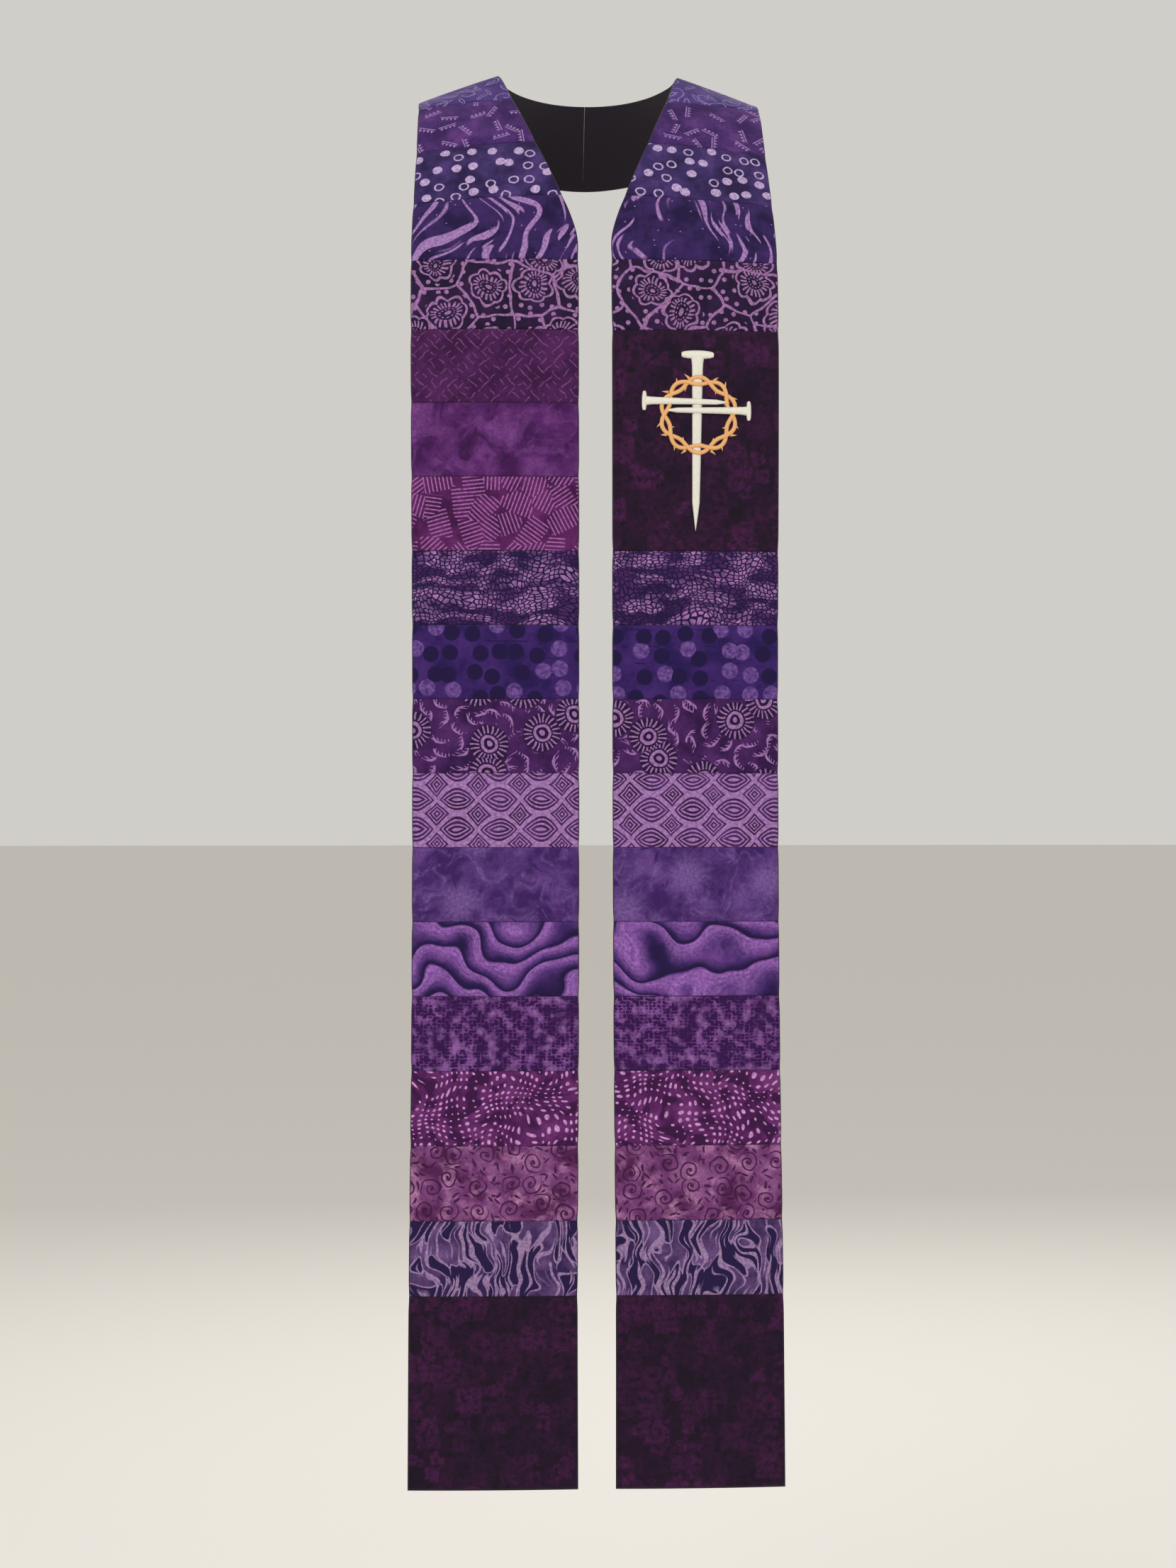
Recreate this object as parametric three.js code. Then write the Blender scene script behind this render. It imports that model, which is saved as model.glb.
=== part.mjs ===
// A clerical stole in patchwork, in the shape it has when it is worn.
//
// Two bands of cotton patches hang down the front, an inch apart. Each band is as wide as a hand down to its hem,
// narrows along the slanted neckline, crosses the shoulder and runs round the back of the neck to a centre seam.
// A dark lining backs each band from hem to centre seam and shows past the patches as a fine rolled edge.
//
// The frame: millimetres, +Z up, the wearer faces -Y, and +X is the wearer's left. The origin is the middle of the
// centre back seam, on the face of the lining that rests on the nape.

import * as THREE from 'three';

const PATCH_DEPTH = 57.15;
const HEM_BLOCK_DEPTH = 147;
const PATCH_WALL = 1.2;
const LINING_WALL = 1.0;
const SEAM_GAP = 0.3;
const ROLLED_EDGE = 1.2;
const STRIPS_ACROSS = 6;
const TANGENT_STEP = 1.5;

const NECK_SEAM_PATH = HEM_BLOCK_DEPTH + 17 * PATCH_DEPTH;
const CENTRE_BACK_PATH = 1311;

// Cross-sections of a band, from the hem to the centre back, on the face towards the wearer. path is the distance from
// the hem along the middle of the band. The neck edge and the shoulder edge are its two sides. bow is how far the
// middle stands out from the straight line between them.
const SECTIONS = [
  { at: 'hem', path: 0, neck: [14.4, -241.5, -1076.9], shoulder: [144.6, -240.0, -1076.9], bow: 2.0 },
  { at: 'hem block seam', path: 147, neck: [14.6, -236.0, -929.9], shoulder: [143.9, -234.0, -929.9], bow: 2.4 },
  { at: 'thigh', path: 350, neck: [13.3, -228.0, -726.9], shoulder: [142.0, -225.5, -726.9], bow: 2.6 },
  { at: 'waist', path: 600, neck: [12.8, -220.5, -476.9], shoulder: [141.4, -217.5, -476.9], bow: 3.0 },
  { at: 'under the chest', path: 800, neck: [12.8, -218.0, -276.9], shoulder: [142.4, -214.0, -276.9], bow: 3.0 },
  { at: 'chest', path: 890, neck: [12.8, -214.0, -187.1], shoulder: [142.8, -209.5, -187.3], bow: 3.0 },
  { at: 'upper chest', path: 947, neck: [12.8, -204.8, -131.2], shoulder: [142.8, -200.4, -132.8], bow: 2.6 },
  { at: 'point of the neckline', path: 972, neck: [14.0, -195.8, -108.0], shoulder: [142.4, -191.4, -111.0], bow: 2.4 },
  { at: 'low neckline', path: 1004, neck: [24.2, -182.3, -76.9], shoulder: [141.4, -177.4, -84.5], bow: 2.2 },
  { at: 'middle of the neckline', path: 1061, neck: [44.0, -151.0, -28.6], shoulder: [139.4, -146.2, -38.6], bow: 1.8 },
  { at: 'high neckline', path: 1118.6, neck: [61.6, -115.0, 13.5], shoulder: [138.4, -109.0, 5.5], bow: 1.2 },
  { at: 'front of the shoulder', path: 1157, neck: [71.0, -84.0, 38.8], shoulder: [138.6, -74.0, 18.0], bow: 0.4 },
  { at: 'top of the shoulder', path: 1173, neck: [72.0, -69.5, 41.4], shoulder: [137.0, -58.5, 18.6], bow: 0.2 },
  { at: 'behind the shoulder', path: 1198, neck: [67.4, -48.5, 40.4], shoulder: [127.0, -34.5, 8.6], bow: 0 },
  { at: 'side of the back', path: 1231, neck: [51.6, -31.5, 36.5], shoulder: [98.6, -7.8, -9.0], bow: 0 },
  { at: 'near the centre back', path: 1270, neck: [27.9, -20.3, 33.5], shoulder: [53.4, 11.0, -25.6], bow: 0 },
  { at: 'centre back', path: 1311, neck: [0.15, -16.5, 32.5], shoulder: [0.15, 16.5, -32.5], bow: 0 },
];

// The cottons, with the plain colour that each gives from a distance.
const COTTON = {
  swirl: '#54397c',
  triangle: '#4f2b6d',
  ring: '#46316a',
  streak: '#3c2059',
  fan: '#3d1e4b',
  crackle: '#401245',
  mottle: '#4a1858',
  basket: '#541954',
  block: '#1e0222',
  cobble: '#48206a',
  spot: '#381b60',
  sunburst: '#4e2460',
  ogee: '#532a62',
  cloud: '#4d2b6d',
  satin: '#4d296f',
  mesh: '#592b6d',
  dot: '#652a67',
  scroll: '#693163',
  plume: '#503364',
};

// The patches above the hem block, upwards. The wearer's left band has one deep block where the other has three patches.
const BELOW_THE_CHEST = ['plume', 'scroll', 'dot', 'mesh', 'satin', 'cloud', 'ogee', 'sunburst', 'spot', 'cobble'];
const AT_THE_NECKLINE = ['fan', 'streak', 'ring', 'triangle'];
const BANDS = {
  left: { mirrored: false, chest: [{ cotton: 'block', patches: 3 }] },
  right: { mirrored: true, chest: ['basket', 'mottle', 'crackle'].map((cotton) => ({ cotton, patches: 1 })) },
};

// The same sections with one more past the centre back, in mirror image, so that the two halves meet smoothly there.
const mirrored = ([x, y, z]) => [-x, y, z];
const lastBend = SECTIONS.at(-2);
const RUN = [
  ...SECTIONS,
  {
    path: 2 * CENTRE_BACK_PATH - lastBend.path,
    neck: mirrored(lastBend.neck),
    shoulder: mirrored(lastBend.shoulder),
    bow: lastBend.bow,
  },
];

// The value of a section's number at a distance along the band, on a smooth curve through the sections.
function along(path, read) {
  const last = RUN.length - 1;
  let k = 0;
  while (k < last - 1 && path > RUN[k + 1].path) k += 1;
  const slope = (i) => {
    const before = RUN[Math.max(i - 1, 0)];
    const after = RUN[Math.min(i + 1, last)];
    return (read(after) - read(before)) / (after.path - before.path);
  };
  const from = RUN[k];
  const to = RUN[k + 1];
  const span = to.path - from.path;
  const t = (path - from.path) / span;
  const rise = t * t * (3 - 2 * t);
  return (
    read(from) * (1 - rise) +
    read(to) * rise +
    slope(k) * span * t * (1 - t) * (1 - t) -
    slope(k + 1) * span * t * t * (1 - t)
  );
}

const edgePoint = (path, edge) => new THREE.Vector3(...[0, 1, 2].map((axis) => along(path, (s) => s[edge][axis])));

// A point of the face towards the wearer. across runs from 0 at the neck edge to 1 at the shoulder edge.
function facePoint(path, across) {
  const neck = edgePoint(path, 'neck');
  const shoulder = edgePoint(path, 'shoulder');
  const point = neck.clone().lerp(shoulder, across);
  const outward = new THREE.Vector3().subVectors(shoulder, neck).cross(directionAt(path)).normalize();
  return point.addScaledVector(outward, along(path, (s) => s.bow) * 4 * across * (1 - across));
}

// The way the band runs, upwards from the hem.
function directionAt(path) {
  const low = Math.max(path - TANGENT_STEP, 0);
  const high = path + TANGENT_STEP;
  const middle = (p) => edgePoint(p, 'neck').lerp(edgePoint(p, 'shoulder'), 0.5);
  return middle(high).sub(middle(low)).normalize();
}

// A point at a height above that face, out from the wearer.
function clothPoint(path, across, height) {
  const acrossStep = 0.02;
  const low = Math.max(path - TANGENT_STEP, 0);
  const high = path + TANGENT_STEP;
  const ways = facePoint(path, across + acrossStep).sub(facePoint(path, across - acrossStep));
  const up = facePoint(high, across).sub(facePoint(low, across));
  return facePoint(path, across).addScaledVector(ways.cross(up).normalize(), height);
}

// A closed wall of cloth over the given distances along and across the band, between two heights.
function clothWall(paths, acrosses, lowHeight, highHeight) {
  const rows = paths.length;
  const columns = acrosses.length;
  const positions = [];
  for (const height of [lowHeight, highHeight]) {
    for (const path of paths) {
      for (const across of acrosses) positions.push(...clothPoint(path, across(path), height).toArray());
    }
  }
  const vertex = (layer, i, j) => layer * rows * columns + i * columns + j;
  const triangles = [];
  const quad = (a, b, c, d) => triangles.push(a, b, c, a, c, d);
  for (let i = 0; i < rows - 1; i += 1) {
    for (let j = 0; j < columns - 1; j += 1) {
      quad(vertex(1, i, j), vertex(1, i, j + 1), vertex(1, i + 1, j + 1), vertex(1, i + 1, j));
      quad(vertex(0, i, j), vertex(0, i + 1, j), vertex(0, i + 1, j + 1), vertex(0, i, j + 1));
    }
    const end = columns - 1;
    quad(vertex(0, i, 0), vertex(1, i, 0), vertex(1, i + 1, 0), vertex(0, i + 1, 0));
    quad(vertex(0, i, end), vertex(0, i + 1, end), vertex(1, i + 1, end), vertex(1, i, end));
  }
  for (let j = 0; j < columns - 1; j += 1) {
    const end = rows - 1;
    quad(vertex(0, 0, j), vertex(0, 0, j + 1), vertex(1, 0, j + 1), vertex(1, 0, j));
    quad(vertex(0, end, j), vertex(1, end, j), vertex(1, end, j + 1), vertex(0, end, j + 1));
  }
  const geometry = new THREE.BufferGeometry();
  geometry.setAttribute('position', new THREE.Float32BufferAttribute(positions, 3));
  geometry.setIndex(triangles);
  geometry.computeVertexNormals();
  return geometry;
}

// How many facets a stretch of the band needs: few where it hangs straight, more where it bends.
function facetsFor(patch) {
  if (patch.cotton === 'swirl') return 14;
  return patch.to > SECTIONS[5].path + 1 ? 3 : 1;
}

// The patches of a band from the hem up, each with the stretch of the band that it covers.
function patchesOf(band) {
  const order = [
    { cotton: 'block', depth: HEM_BLOCK_DEPTH, place: 'hem_' },
    ...BELOW_THE_CHEST.map((cotton) => ({ cotton, depth: PATCH_DEPTH })),
    ...band.chest.map(({ cotton, patches }) => ({
      cotton,
      depth: patches * PATCH_DEPTH,
      place: patches > 1 ? 'emblem_' : '',
    })),
    ...AT_THE_NECKLINE.map((cotton) => ({ cotton, depth: PATCH_DEPTH })),
    { cotton: 'swirl', depth: CENTRE_BACK_PATH - NECK_SEAM_PATH, place: 'neck_' },
  ];
  let from = 0;
  return order.map(({ cotton, depth, place = '' }) => {
    const patch = { cotton, name: place + cotton, from, to: from + depth };
    from += depth;
    return patch;
  });
}

// Distances along one patch, from seam to seam, kept half a gap clear of its neighbours.
function stationsOf(patch) {
  const facets = facetsFor(patch);
  const start = patch.from > 0 ? patch.from + SEAM_GAP / 2 : ROLLED_EDGE;
  const finish = patch.to < CENTRE_BACK_PATH ? patch.to - SEAM_GAP / 2 : CENTRE_BACK_PATH;
  return Array.from({ length: facets + 1 }, (_, i) => start + ((finish - start) * i) / facets);
}

const widthAt = (path) => edgePoint(path, 'neck').distanceTo(edgePoint(path, 'shoulder'));
const EDGE_COLUMNS = Array.from({ length: STRIPS_ACROSS + 1 }, (_, j) => (path) => {
  const inset = ROLLED_EDGE / widthAt(path);
  return inset + ((1 - 2 * inset) * j) / STRIPS_ACROSS;
});
const LINING_COLUMNS = [() => 0, ...EDGE_COLUMNS, () => 1];

function mirror(geometry) {
  geometry.scale(-1, 1, 1);
  const index = geometry.getIndex();
  for (let i = 0; i < index.count; i += 3) {
    const second = index.getX(i + 1);
    index.setX(i + 1, index.getX(i + 2));
    index.setX(i + 2, second);
  }
  geometry.computeVertexNormals();
  return geometry;
}

function clothMesh(name, geometry, band, colour) {
  const material = new THREE.MeshStandardMaterial({ color: colour, roughness: 0.85, metalness: 0 });
  const mesh = new THREE.Mesh(band.mirrored ? mirror(geometry) : geometry, material);
  mesh.name = name;
  return mesh;
}

const PATCH_FACE = LINING_WALL + SEAM_GAP;
const stole = new THREE.Group();
for (const [side, band] of Object.entries(BANDS)) {
  const half = new THREE.Group();
  const patches = patchesOf(band);
  for (const patch of patches) {
    const wall = clothWall(stationsOf(patch), EDGE_COLUMNS, PATCH_FACE, PATCH_FACE + PATCH_WALL);
    half.add(clothMesh(`${side}_${patch.name}`, wall, band, COTTON[patch.cotton]));
  }
  const liningPaths = [0, ...patches.flatMap(stationsOf)];
  const liningWall = clothWall(liningPaths, LINING_COLUMNS, 0, LINING_WALL);
  half.add(clothMesh(`${side}_lining`, liningWall, band, '#0d0411'));
  stole.add(half);
}

export default stole;
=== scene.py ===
"""A clerical stole in patchwork, in the shape it has when it is worn.

Two bands of batik cotton patches on a dark lining, with three nails and a crown of thorns in satin stitch.
"""

from collections import namedtuple
from math import pi, radians

import bmesh
import bpy
import numpy as np
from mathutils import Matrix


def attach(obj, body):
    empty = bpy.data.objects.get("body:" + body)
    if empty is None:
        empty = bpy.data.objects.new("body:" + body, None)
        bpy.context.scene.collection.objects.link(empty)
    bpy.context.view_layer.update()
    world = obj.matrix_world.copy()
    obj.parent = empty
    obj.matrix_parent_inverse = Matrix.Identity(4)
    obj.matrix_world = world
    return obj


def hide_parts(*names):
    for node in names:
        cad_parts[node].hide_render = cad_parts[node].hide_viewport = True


bl_info = {
    "name": "Patchwork stole",
    "version": (1, 0, 0),
    "blender": (4, 5, 0),
    "location": "3D View > Sidebar > Stole",
    "description": "Sews a patchwork clerical stole with an embroidered emblem",
    "category": "Object",
}

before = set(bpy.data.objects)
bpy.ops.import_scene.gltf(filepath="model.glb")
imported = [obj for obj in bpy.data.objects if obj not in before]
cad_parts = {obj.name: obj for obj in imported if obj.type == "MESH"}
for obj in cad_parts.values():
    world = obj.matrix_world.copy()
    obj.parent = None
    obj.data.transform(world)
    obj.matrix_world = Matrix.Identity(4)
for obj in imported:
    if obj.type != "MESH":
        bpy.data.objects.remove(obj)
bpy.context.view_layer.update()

MM = 0.001

# The cut, in millimetres along and across a band.
PATCH_DEPTH = 57.15
HEM_BLOCK_DEPTH = 147
BLOCK_PATCHES = 3
CENTRE_BACK_PATH = 1311
TANGENT_STEP = 1.5
ACROSS_STEP = 0.02
LINING_FACE = 1.0
PATCH_FACE = 2.5
LINING_WIDTH = 130.0
LINING_CELL_ACROSS = 3.0
LINING_CELL_ALONG = 4.0
LINING_ROLL = 0.8
LINING_ROLL_DEPTH = 0.45
# How much the cotton between the seams stands up, and how far the seams pull a band in.
PUFF = 0.3
PUFF_SINK = 0.25
PUFF_FROM_SEAM = 7.0
PUFF_FROM_SIDE = 9.0
SEAM_PULL = 0.45
SEAM_PULL_REACH = 7.0
# The clear gap between two patches is twice this, and the halves meet this far past the centre back.
SEAM_CLEARANCE = 0.05
CENTRE_BACK_LAP = 0.1
# Plain weave has a thread each 0.4 mm. It is drawn twice as coarse, so that it shows.
THREAD_PITCH = 0.8 * MM
# A column of satin stitches has this many points across, and this many rows to a stitch.
STITCH_COLUMNS = 9
ROWS_PER_STITCH = 4

# Cross-sections of a band from the hem to the centre back, on the face towards the wearer, in millimetres.
# path is the distance from the hem along the middle. bow is how far the middle stands out from the edges.
Section = namedtuple("Section", "place path neck shoulder bow")
SECTIONS = [
    Section("hem", 0, (14.4, -241.5, -1076.9), (144.6, -240.0, -1076.9), 2.0),
    Section("hem block seam", 147, (14.6, -236.0, -929.9), (143.9, -234.0, -929.9), 2.4),
    Section("thigh", 350, (13.3, -228.0, -726.9), (142.0, -225.5, -726.9), 2.6),
    Section("waist", 600, (12.8, -220.5, -476.9), (141.4, -217.5, -476.9), 3.0),
    Section("under the chest", 800, (12.8, -218.0, -276.9), (142.4, -214.0, -276.9), 3.0),
    Section("chest", 890, (12.8, -214.0, -187.1), (142.8, -209.5, -187.3), 3.0),
    Section("upper chest", 947, (12.8, -204.8, -131.2), (142.8, -200.4, -132.8), 2.6),
    Section("point of the neckline", 972, (14.0, -195.8, -108.0), (142.4, -191.4, -111.0), 2.4),
    Section("low neckline", 1004, (24.2, -182.3, -76.9), (141.4, -177.4, -84.5), 2.2),
    Section("middle of the neckline", 1061, (44.0, -151.0, -28.6), (139.4, -146.2, -38.6), 1.8),
    Section("high neckline", 1118.6, (61.6, -115.0, 13.5), (138.4, -109.0, 5.5), 1.2),
    Section("front of the shoulder", 1157, (71.0, -84.0, 38.8), (138.6, -74.0, 18.0), 0.4),
    Section("top of the shoulder", 1173, (72.0, -69.5, 41.4), (137.0, -58.5, 18.6), 0.2),
    Section("behind the shoulder", 1198, (67.4, -48.5, 40.4), (127.0, -34.5, 8.6), 0),
    Section("side of the back", 1231, (51.6, -31.5, 36.5), (98.6, -7.8, -9.0), 0),
    Section("near the centre back", 1270, (27.9, -20.3, 33.5), (53.4, 11.0, -25.6), 0),
    Section("centre back", 1311, (0.15, -16.5, 32.5), (0.15, 16.5, -32.5), 0),
]

# Soft troughs and ridges in the hanging cloth, in millimetres. across is measured from the neck edge. reach and
# breadth are its size, turn is its lean from the level in degrees, and rise is how far it stands out.
Ripple = namedtuple("Ripple", "side path across reach breadth turn rise")
RIPPLES = [
    Ripple("left", 1088, 22, 38, 9, 62, -0.9),
    Ripple("left", 1062, 88, 30, 8, 34, 0.7),
    Ripple("left", 1010, 60, 42, 10, 20, -0.6),
    Ripple("left", 948, 30, 34, 9, -25, 0.6),
    Ripple("left", 905, 104, 30, 10, 12, -0.6),
    Ripple("left", 842, 16, 26, 9, 70, 0.5),
    Ripple("left", 752, 108, 24, 10, -68, -0.6),
    Ripple("left", 676, 44, 40, 9, 8, -0.7),
    Ripple("left", 588, 92, 34, 11, -14, 0.7),
    Ripple("left", 471, 34, 32, 10, 24, -0.7),
    Ripple("left", 402, 100, 38, 9, -20, -0.6),
    Ripple("left", 318, 56, 44, 12, 10, 0.7),
    Ripple("left", 226, 88, 30, 9, 38, -0.6),
    Ripple("left", 104, 40, 46, 13, 72, 0.8),
    Ripple("left", 44, 96, 34, 12, -60, -0.7),
    Ripple("left", 1222, 28, 26, 9, 80, 0.5),
    Ripple("right", 1094, 30, 36, 9, 58, -0.8),
    Ripple("right", 1048, 74, 32, 8, 28, 0.7),
    Ripple("right", 1018, 100, 30, 9, -12, -0.6),
    Ripple("right", 930, 36, 38, 10, 18, -0.7),
    Ripple("right", 868, 84, 44, 9, -8, 0.7),
    Ripple("right", 812, 28, 30, 8, 16, -0.6),
    Ripple("right", 744, 98, 34, 10, -22, 0.6),
    Ripple("right", 652, 62, 40, 9, 6, -0.6),
    Ripple("right", 566, 24, 30, 10, 30, 0.7),
    Ripple("right", 508, 96, 36, 9, -10, -0.7),
    Ripple("right", 412, 52, 42, 11, 14, 0.6),
    Ripple("right", 334, 102, 30, 9, -34, -0.6),
    Ripple("right", 240, 38, 36, 10, 20, 0.7),
    Ripple("right", 118, 86, 44, 12, -74, 0.8),
    Ripple("right", 52, 34, 36, 13, 64, -0.7),
    Ripple("right", 1230, 40, 28, 9, -78, 0.5),
]

# The cottons of a band from the hem up. depth is a number of patches, or 0 for a piece of its own depth.
Piece = namedtuple("Piece", "name cotton depth")
BELOW_THE_CHEST = [
    Piece("hem_block", "block", 0),
    Piece("plume", "plume", 1),
    Piece("scroll", "scroll", 1),
    Piece("dot", "dot", 1),
    Piece("mesh", "mesh", 1),
    Piece("satin", "satin", 1),
    Piece("cloud", "cloud", 1),
    Piece("ogee", "ogee", 1),
    Piece("sunburst", "sunburst", 1),
    Piece("spot", "spot", 1),
    Piece("cobble", "cobble", 1),
]
ON_THE_CHEST = {
    "left": [Piece("emblem_block", "block", BLOCK_PATCHES)],
    "right": [Piece("basket", "basket", 1), Piece("mottle", "mottle", 1), Piece("crackle", "crackle", 1)],
}
AT_THE_NECK = [
    Piece("fan", "fan", 1),
    Piece("streak", "streak", 1),
    Piece("ring", "ring", 1),
    Piece("triangle", "triangle", 1),
    Piece("neck_swirl", "swirl", 0),
]

# The dyes of each cotton: its deepest shade, its ground from dark to light, and the motif that wax kept pale.
Dyes = namedtuple("Dyes", "deep dark mid light motif")
DYES = {
    "swirl": Dyes("#2c1a52", "#382265", "#442d71", "#5a3984", "#9283b0"),
    "triangle": Dyes("#240a40", "#2f1150", "#3f1f60", "#5a2f72", "#9a78ae"),
    "ring": Dyes("#160732", "#1e0d3e", "#301f55", "#46306c", "#b49cc4"),
    "streak": Dyes("#100228", "#170338", "#2a154e", "#381d5d", "#9a74ac"),
    "fan": Dyes("#0c011b", "#120125", "#1f062f", "#2c103c", "#94699b"),
    "crackle": Dyes("#280230", "#300537", "#3e1145", "#48184f", "#693a6b"),
    "mottle": Dyes("#2b0338", "#380846", "#4b195a", "#643072", "#6d3a7c"),
    "basket": Dyes("#2a012d", "#36033a", "#4e134f", "#5e225f", "#9a5f9c"),
    "block": Dyes("#0a000e", "#12001a", "#1b0220", "#270429", "#451044"),
    "cobble": Dyes("#14022f", "#1e043f", "#35114f", "#472060", "#a674b3"),
    "spot": Dyes("#140338", "#1d0748", "#301459", "#3c1e64", "#6c4a8e"),
    "sunburst": Dyes("#1b012b", "#260339", "#3a124e", "#4a215c", "#966aa4"),
    "ogee": Dyes("#200226", "#2b0536", "#3c1650", "#4d255e", "#9a71a8"),
    "cloud": Dyes("#280c48", "#331455", "#462666", "#5c3a7c", "#775694"),
    "satin": Dyes("#180438", "#1f0845", "#3c1e62", "#5a3178", "#9460ae"),
    "mesh": Dyes("#2a0240", "#3a0f4e", "#552868", "#6c3c80", "#8a5c9c"),
    "dot": Dyes("#33043a", "#420a48", "#541a58", "#6a2e6c", "#c08cc0"),
    "scroll": Dyes("#320434", "#4a1648", "#6a3469", "#845080", "#ac74a0"),
    "plume": Dyes("#1c0a3c", "#2a1648", "#4a315f", "#64487a", "#9a7ca4"),
}

# Where each cotton's pieces lie on its length of cloth, in millimetres, so that no two show the same motifs.
CUT_FROM = {"left": (40, 120), "right": (610, 480)}
CUT_ONWARD = (173, 97)

# The emblem, in millimetres from the middle of its block. A nail runs from its head to its thinner tip.
EMBLEM_PATH = HEM_BLOCK_DEPTH + 10 * PATCH_DEPTH + BLOCK_PATCHES * PATCH_DEPTH / 2
Nail = namedtuple("Nail", "name head tip head_width head_depth shank point lift")
NAILS = [
    Nail("upright_nail", (1.0, 69.5), (-0.5, -70.0), 25.0, 7.0, 9.2, 5.6, 0.0),
    Nail("upper_cross_nail", (-42.0, 30.5), (26.0, 29.2), 15.0, 4.0, 6.2, 3.8, 1.3),
    Nail("lower_cross_nail", (42.5, 23.0), (-25.5, 23.0), 15.0, 4.0, 6.2, 3.8, 1.3),
]
CROWN_MIDDLE = (1.6, 19.5)
CROWN_RADIUS = 26.5
CROWN_SWAY = 2.9
CROWN_WAVES = 5
STRAND_WIDTH = 3.5

# Thorns of the crown: the place round it and the lean from straight out, in degrees, and the length in
# millimetres. A thorn with a length below zero points inwards.
Thorn = namedtuple("Thorn", "turn lean length")
THORNS = [
    Thorn(8, 30, 5.0),
    Thorn(27, -35, 4.4),
    Thorn(46, 32, 5.4),
    Thorn(66, -28, 4.6),
    Thorn(104, 34, 5.2),
    Thorn(125, -32, 4.8),
    Thorn(143, 30, 5.0),
    Thorn(163, -36, 4.4),
    Thorn(192, 30, 5.2),
    Thorn(212, -30, 4.6),
    Thorn(231, 34, 5.2),
    Thorn(250, -32, 4.6),
    Thorn(289, 32, 5.0),
    Thorn(308, -30, 4.8),
    Thorn(328, 33, 5.2),
    Thorn(346, -34, 4.4),
    Thorn(18, 34, -3.6),
    Thorn(56, -32, -3.8),
    Thorn(115, 30, -3.6),
    Thorn(153, -34, -3.8),
    Thorn(202, 32, -3.6),
    Thorn(240, -30, -3.8),
    Thorn(298, 34, -3.6),
    Thorn(337, -32, -3.8),
]


def linear(hex_colour):
    """An sRGB hex colour as the linear colour that shaders take."""
    parts = [int(hex_colour[i : i + 2], 16) / 255 for i in (1, 3, 5)]
    return tuple(c / 12.92 if c <= 0.04045 else ((c + 0.055) / 1.055) ** 2.4 for c in parts) + (1.0,)


class StoleSizes(bpy.types.PropertyGroup):
    """Sizes of the sewing that a maker would change."""

    side_reveal: bpy.props.FloatProperty(
        name="Side reveal",
        description="How far the lining shows past the patches along the sides",
        default=0.7 * MM,
        unit="LENGTH",
    )
    hem_reveal: bpy.props.FloatProperty(
        name="Hem reveal",
        description="How far the lining shows past the hem block",
        default=1.2 * MM,
        unit="LENGTH",
    )
    seam_depth: bpy.props.FloatProperty(
        name="Seam depth",
        description="How far the cotton rolls down into each seam",
        default=0.9 * MM,
        unit="LENGTH",
    )
    seam_roll: bpy.props.FloatProperty(
        name="Seam roll",
        description="Width of the rounded edge beside each seam",
        default=1.7 * MM,
        unit="LENGTH",
    )
    cell: bpy.props.FloatProperty(
        name="Cell",
        description="Size of the mesh cells in the patches",
        default=2.0 * MM,
        unit="LENGTH",
    )
    wall: bpy.props.FloatProperty(
        name="Wall",
        description="Thickness of the cotton with its turned-in edges",
        default=0.8 * MM,
        unit="LENGTH",
    )
    stitch: bpy.props.FloatProperty(
        name="Stitch",
        description="Spacing of the satin stitches, drawn wider than real thread so that each one shows",
        default=0.9 * MM,
        unit="LENGTH",
    )
    stitch_rise: bpy.props.FloatProperty(
        name="Stitch rise",
        description="How far the satin stitch stands above the cotton",
        default=1.5 * MM,
        unit="LENGTH",
    )


class StoleColours(bpy.types.PropertyGroup):
    """Colours that a maker would change."""

    silver: bpy.props.FloatVectorProperty(
        name="Silver thread",
        description="Colour of the nails",
        size=4,
        subtype="COLOR",
        default=linear("#dddacd"),
    )
    gold: bpy.props.FloatVectorProperty(
        name="Gold thread",
        description="Colour of the crown of thorns",
        size=4,
        subtype="COLOR",
        default=linear("#e2a868"),
    )
    lining: bpy.props.FloatVectorProperty(
        name="Lining",
        description="Colour of the lining and the rolled edge",
        size=4,
        subtype="COLOR",
        default=linear("#100516"),
    )
    floor: bpy.props.FloatVectorProperty(
        name="Floor",
        description="Colour of the floor",
        size=4,
        subtype="COLOR",
        default=linear("#e6e2dc"),
    )


# The run of the cloth.


def run_of_sections():
    """The sections as rows of numbers, with one more past the centre back for a smooth join."""
    rows = [[s.path, *s.neck, *s.shoulder, s.bow] for s in SECTIONS]
    last = SECTIONS[-2]
    past = 2 * CENTRE_BACK_PATH - last.path
    mirrored = [-last.neck[0], *last.neck[1:], -last.shoulder[0], *last.shoulder[1:]]
    return np.array(rows + [[past, *mirrored, last.bow]], float)


RUN = run_of_sections()


def section_values(paths):
    """Neck edge, shoulder edge and bow at distances from the hem, on smooth curves through the sections."""
    at, values = RUN[:, 0], RUN[:, 1:]
    before = np.maximum(np.arange(len(at)) - 1, 0)
    after = np.minimum(np.arange(len(at)) + 1, len(at) - 1)
    slopes = (values[after] - values[before]) / (at[after] - at[before])[:, None]
    k = np.clip(np.searchsorted(at, paths, side="left") - 1, 0, len(at) - 2)
    span = (at[k + 1] - at[k])[:, None]
    t = (paths - at[k])[:, None] / span
    rise = t * t * (3 - 2 * t)
    held = values[k] * (1 - rise) + values[k + 1] * rise
    return held + slopes[k] * span * t * (1 - t) ** 2 - slopes[k + 1] * span * t * t * (1 - t)


def unit(vectors):
    return vectors / np.linalg.norm(vectors, axis=1)[:, None]


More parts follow.
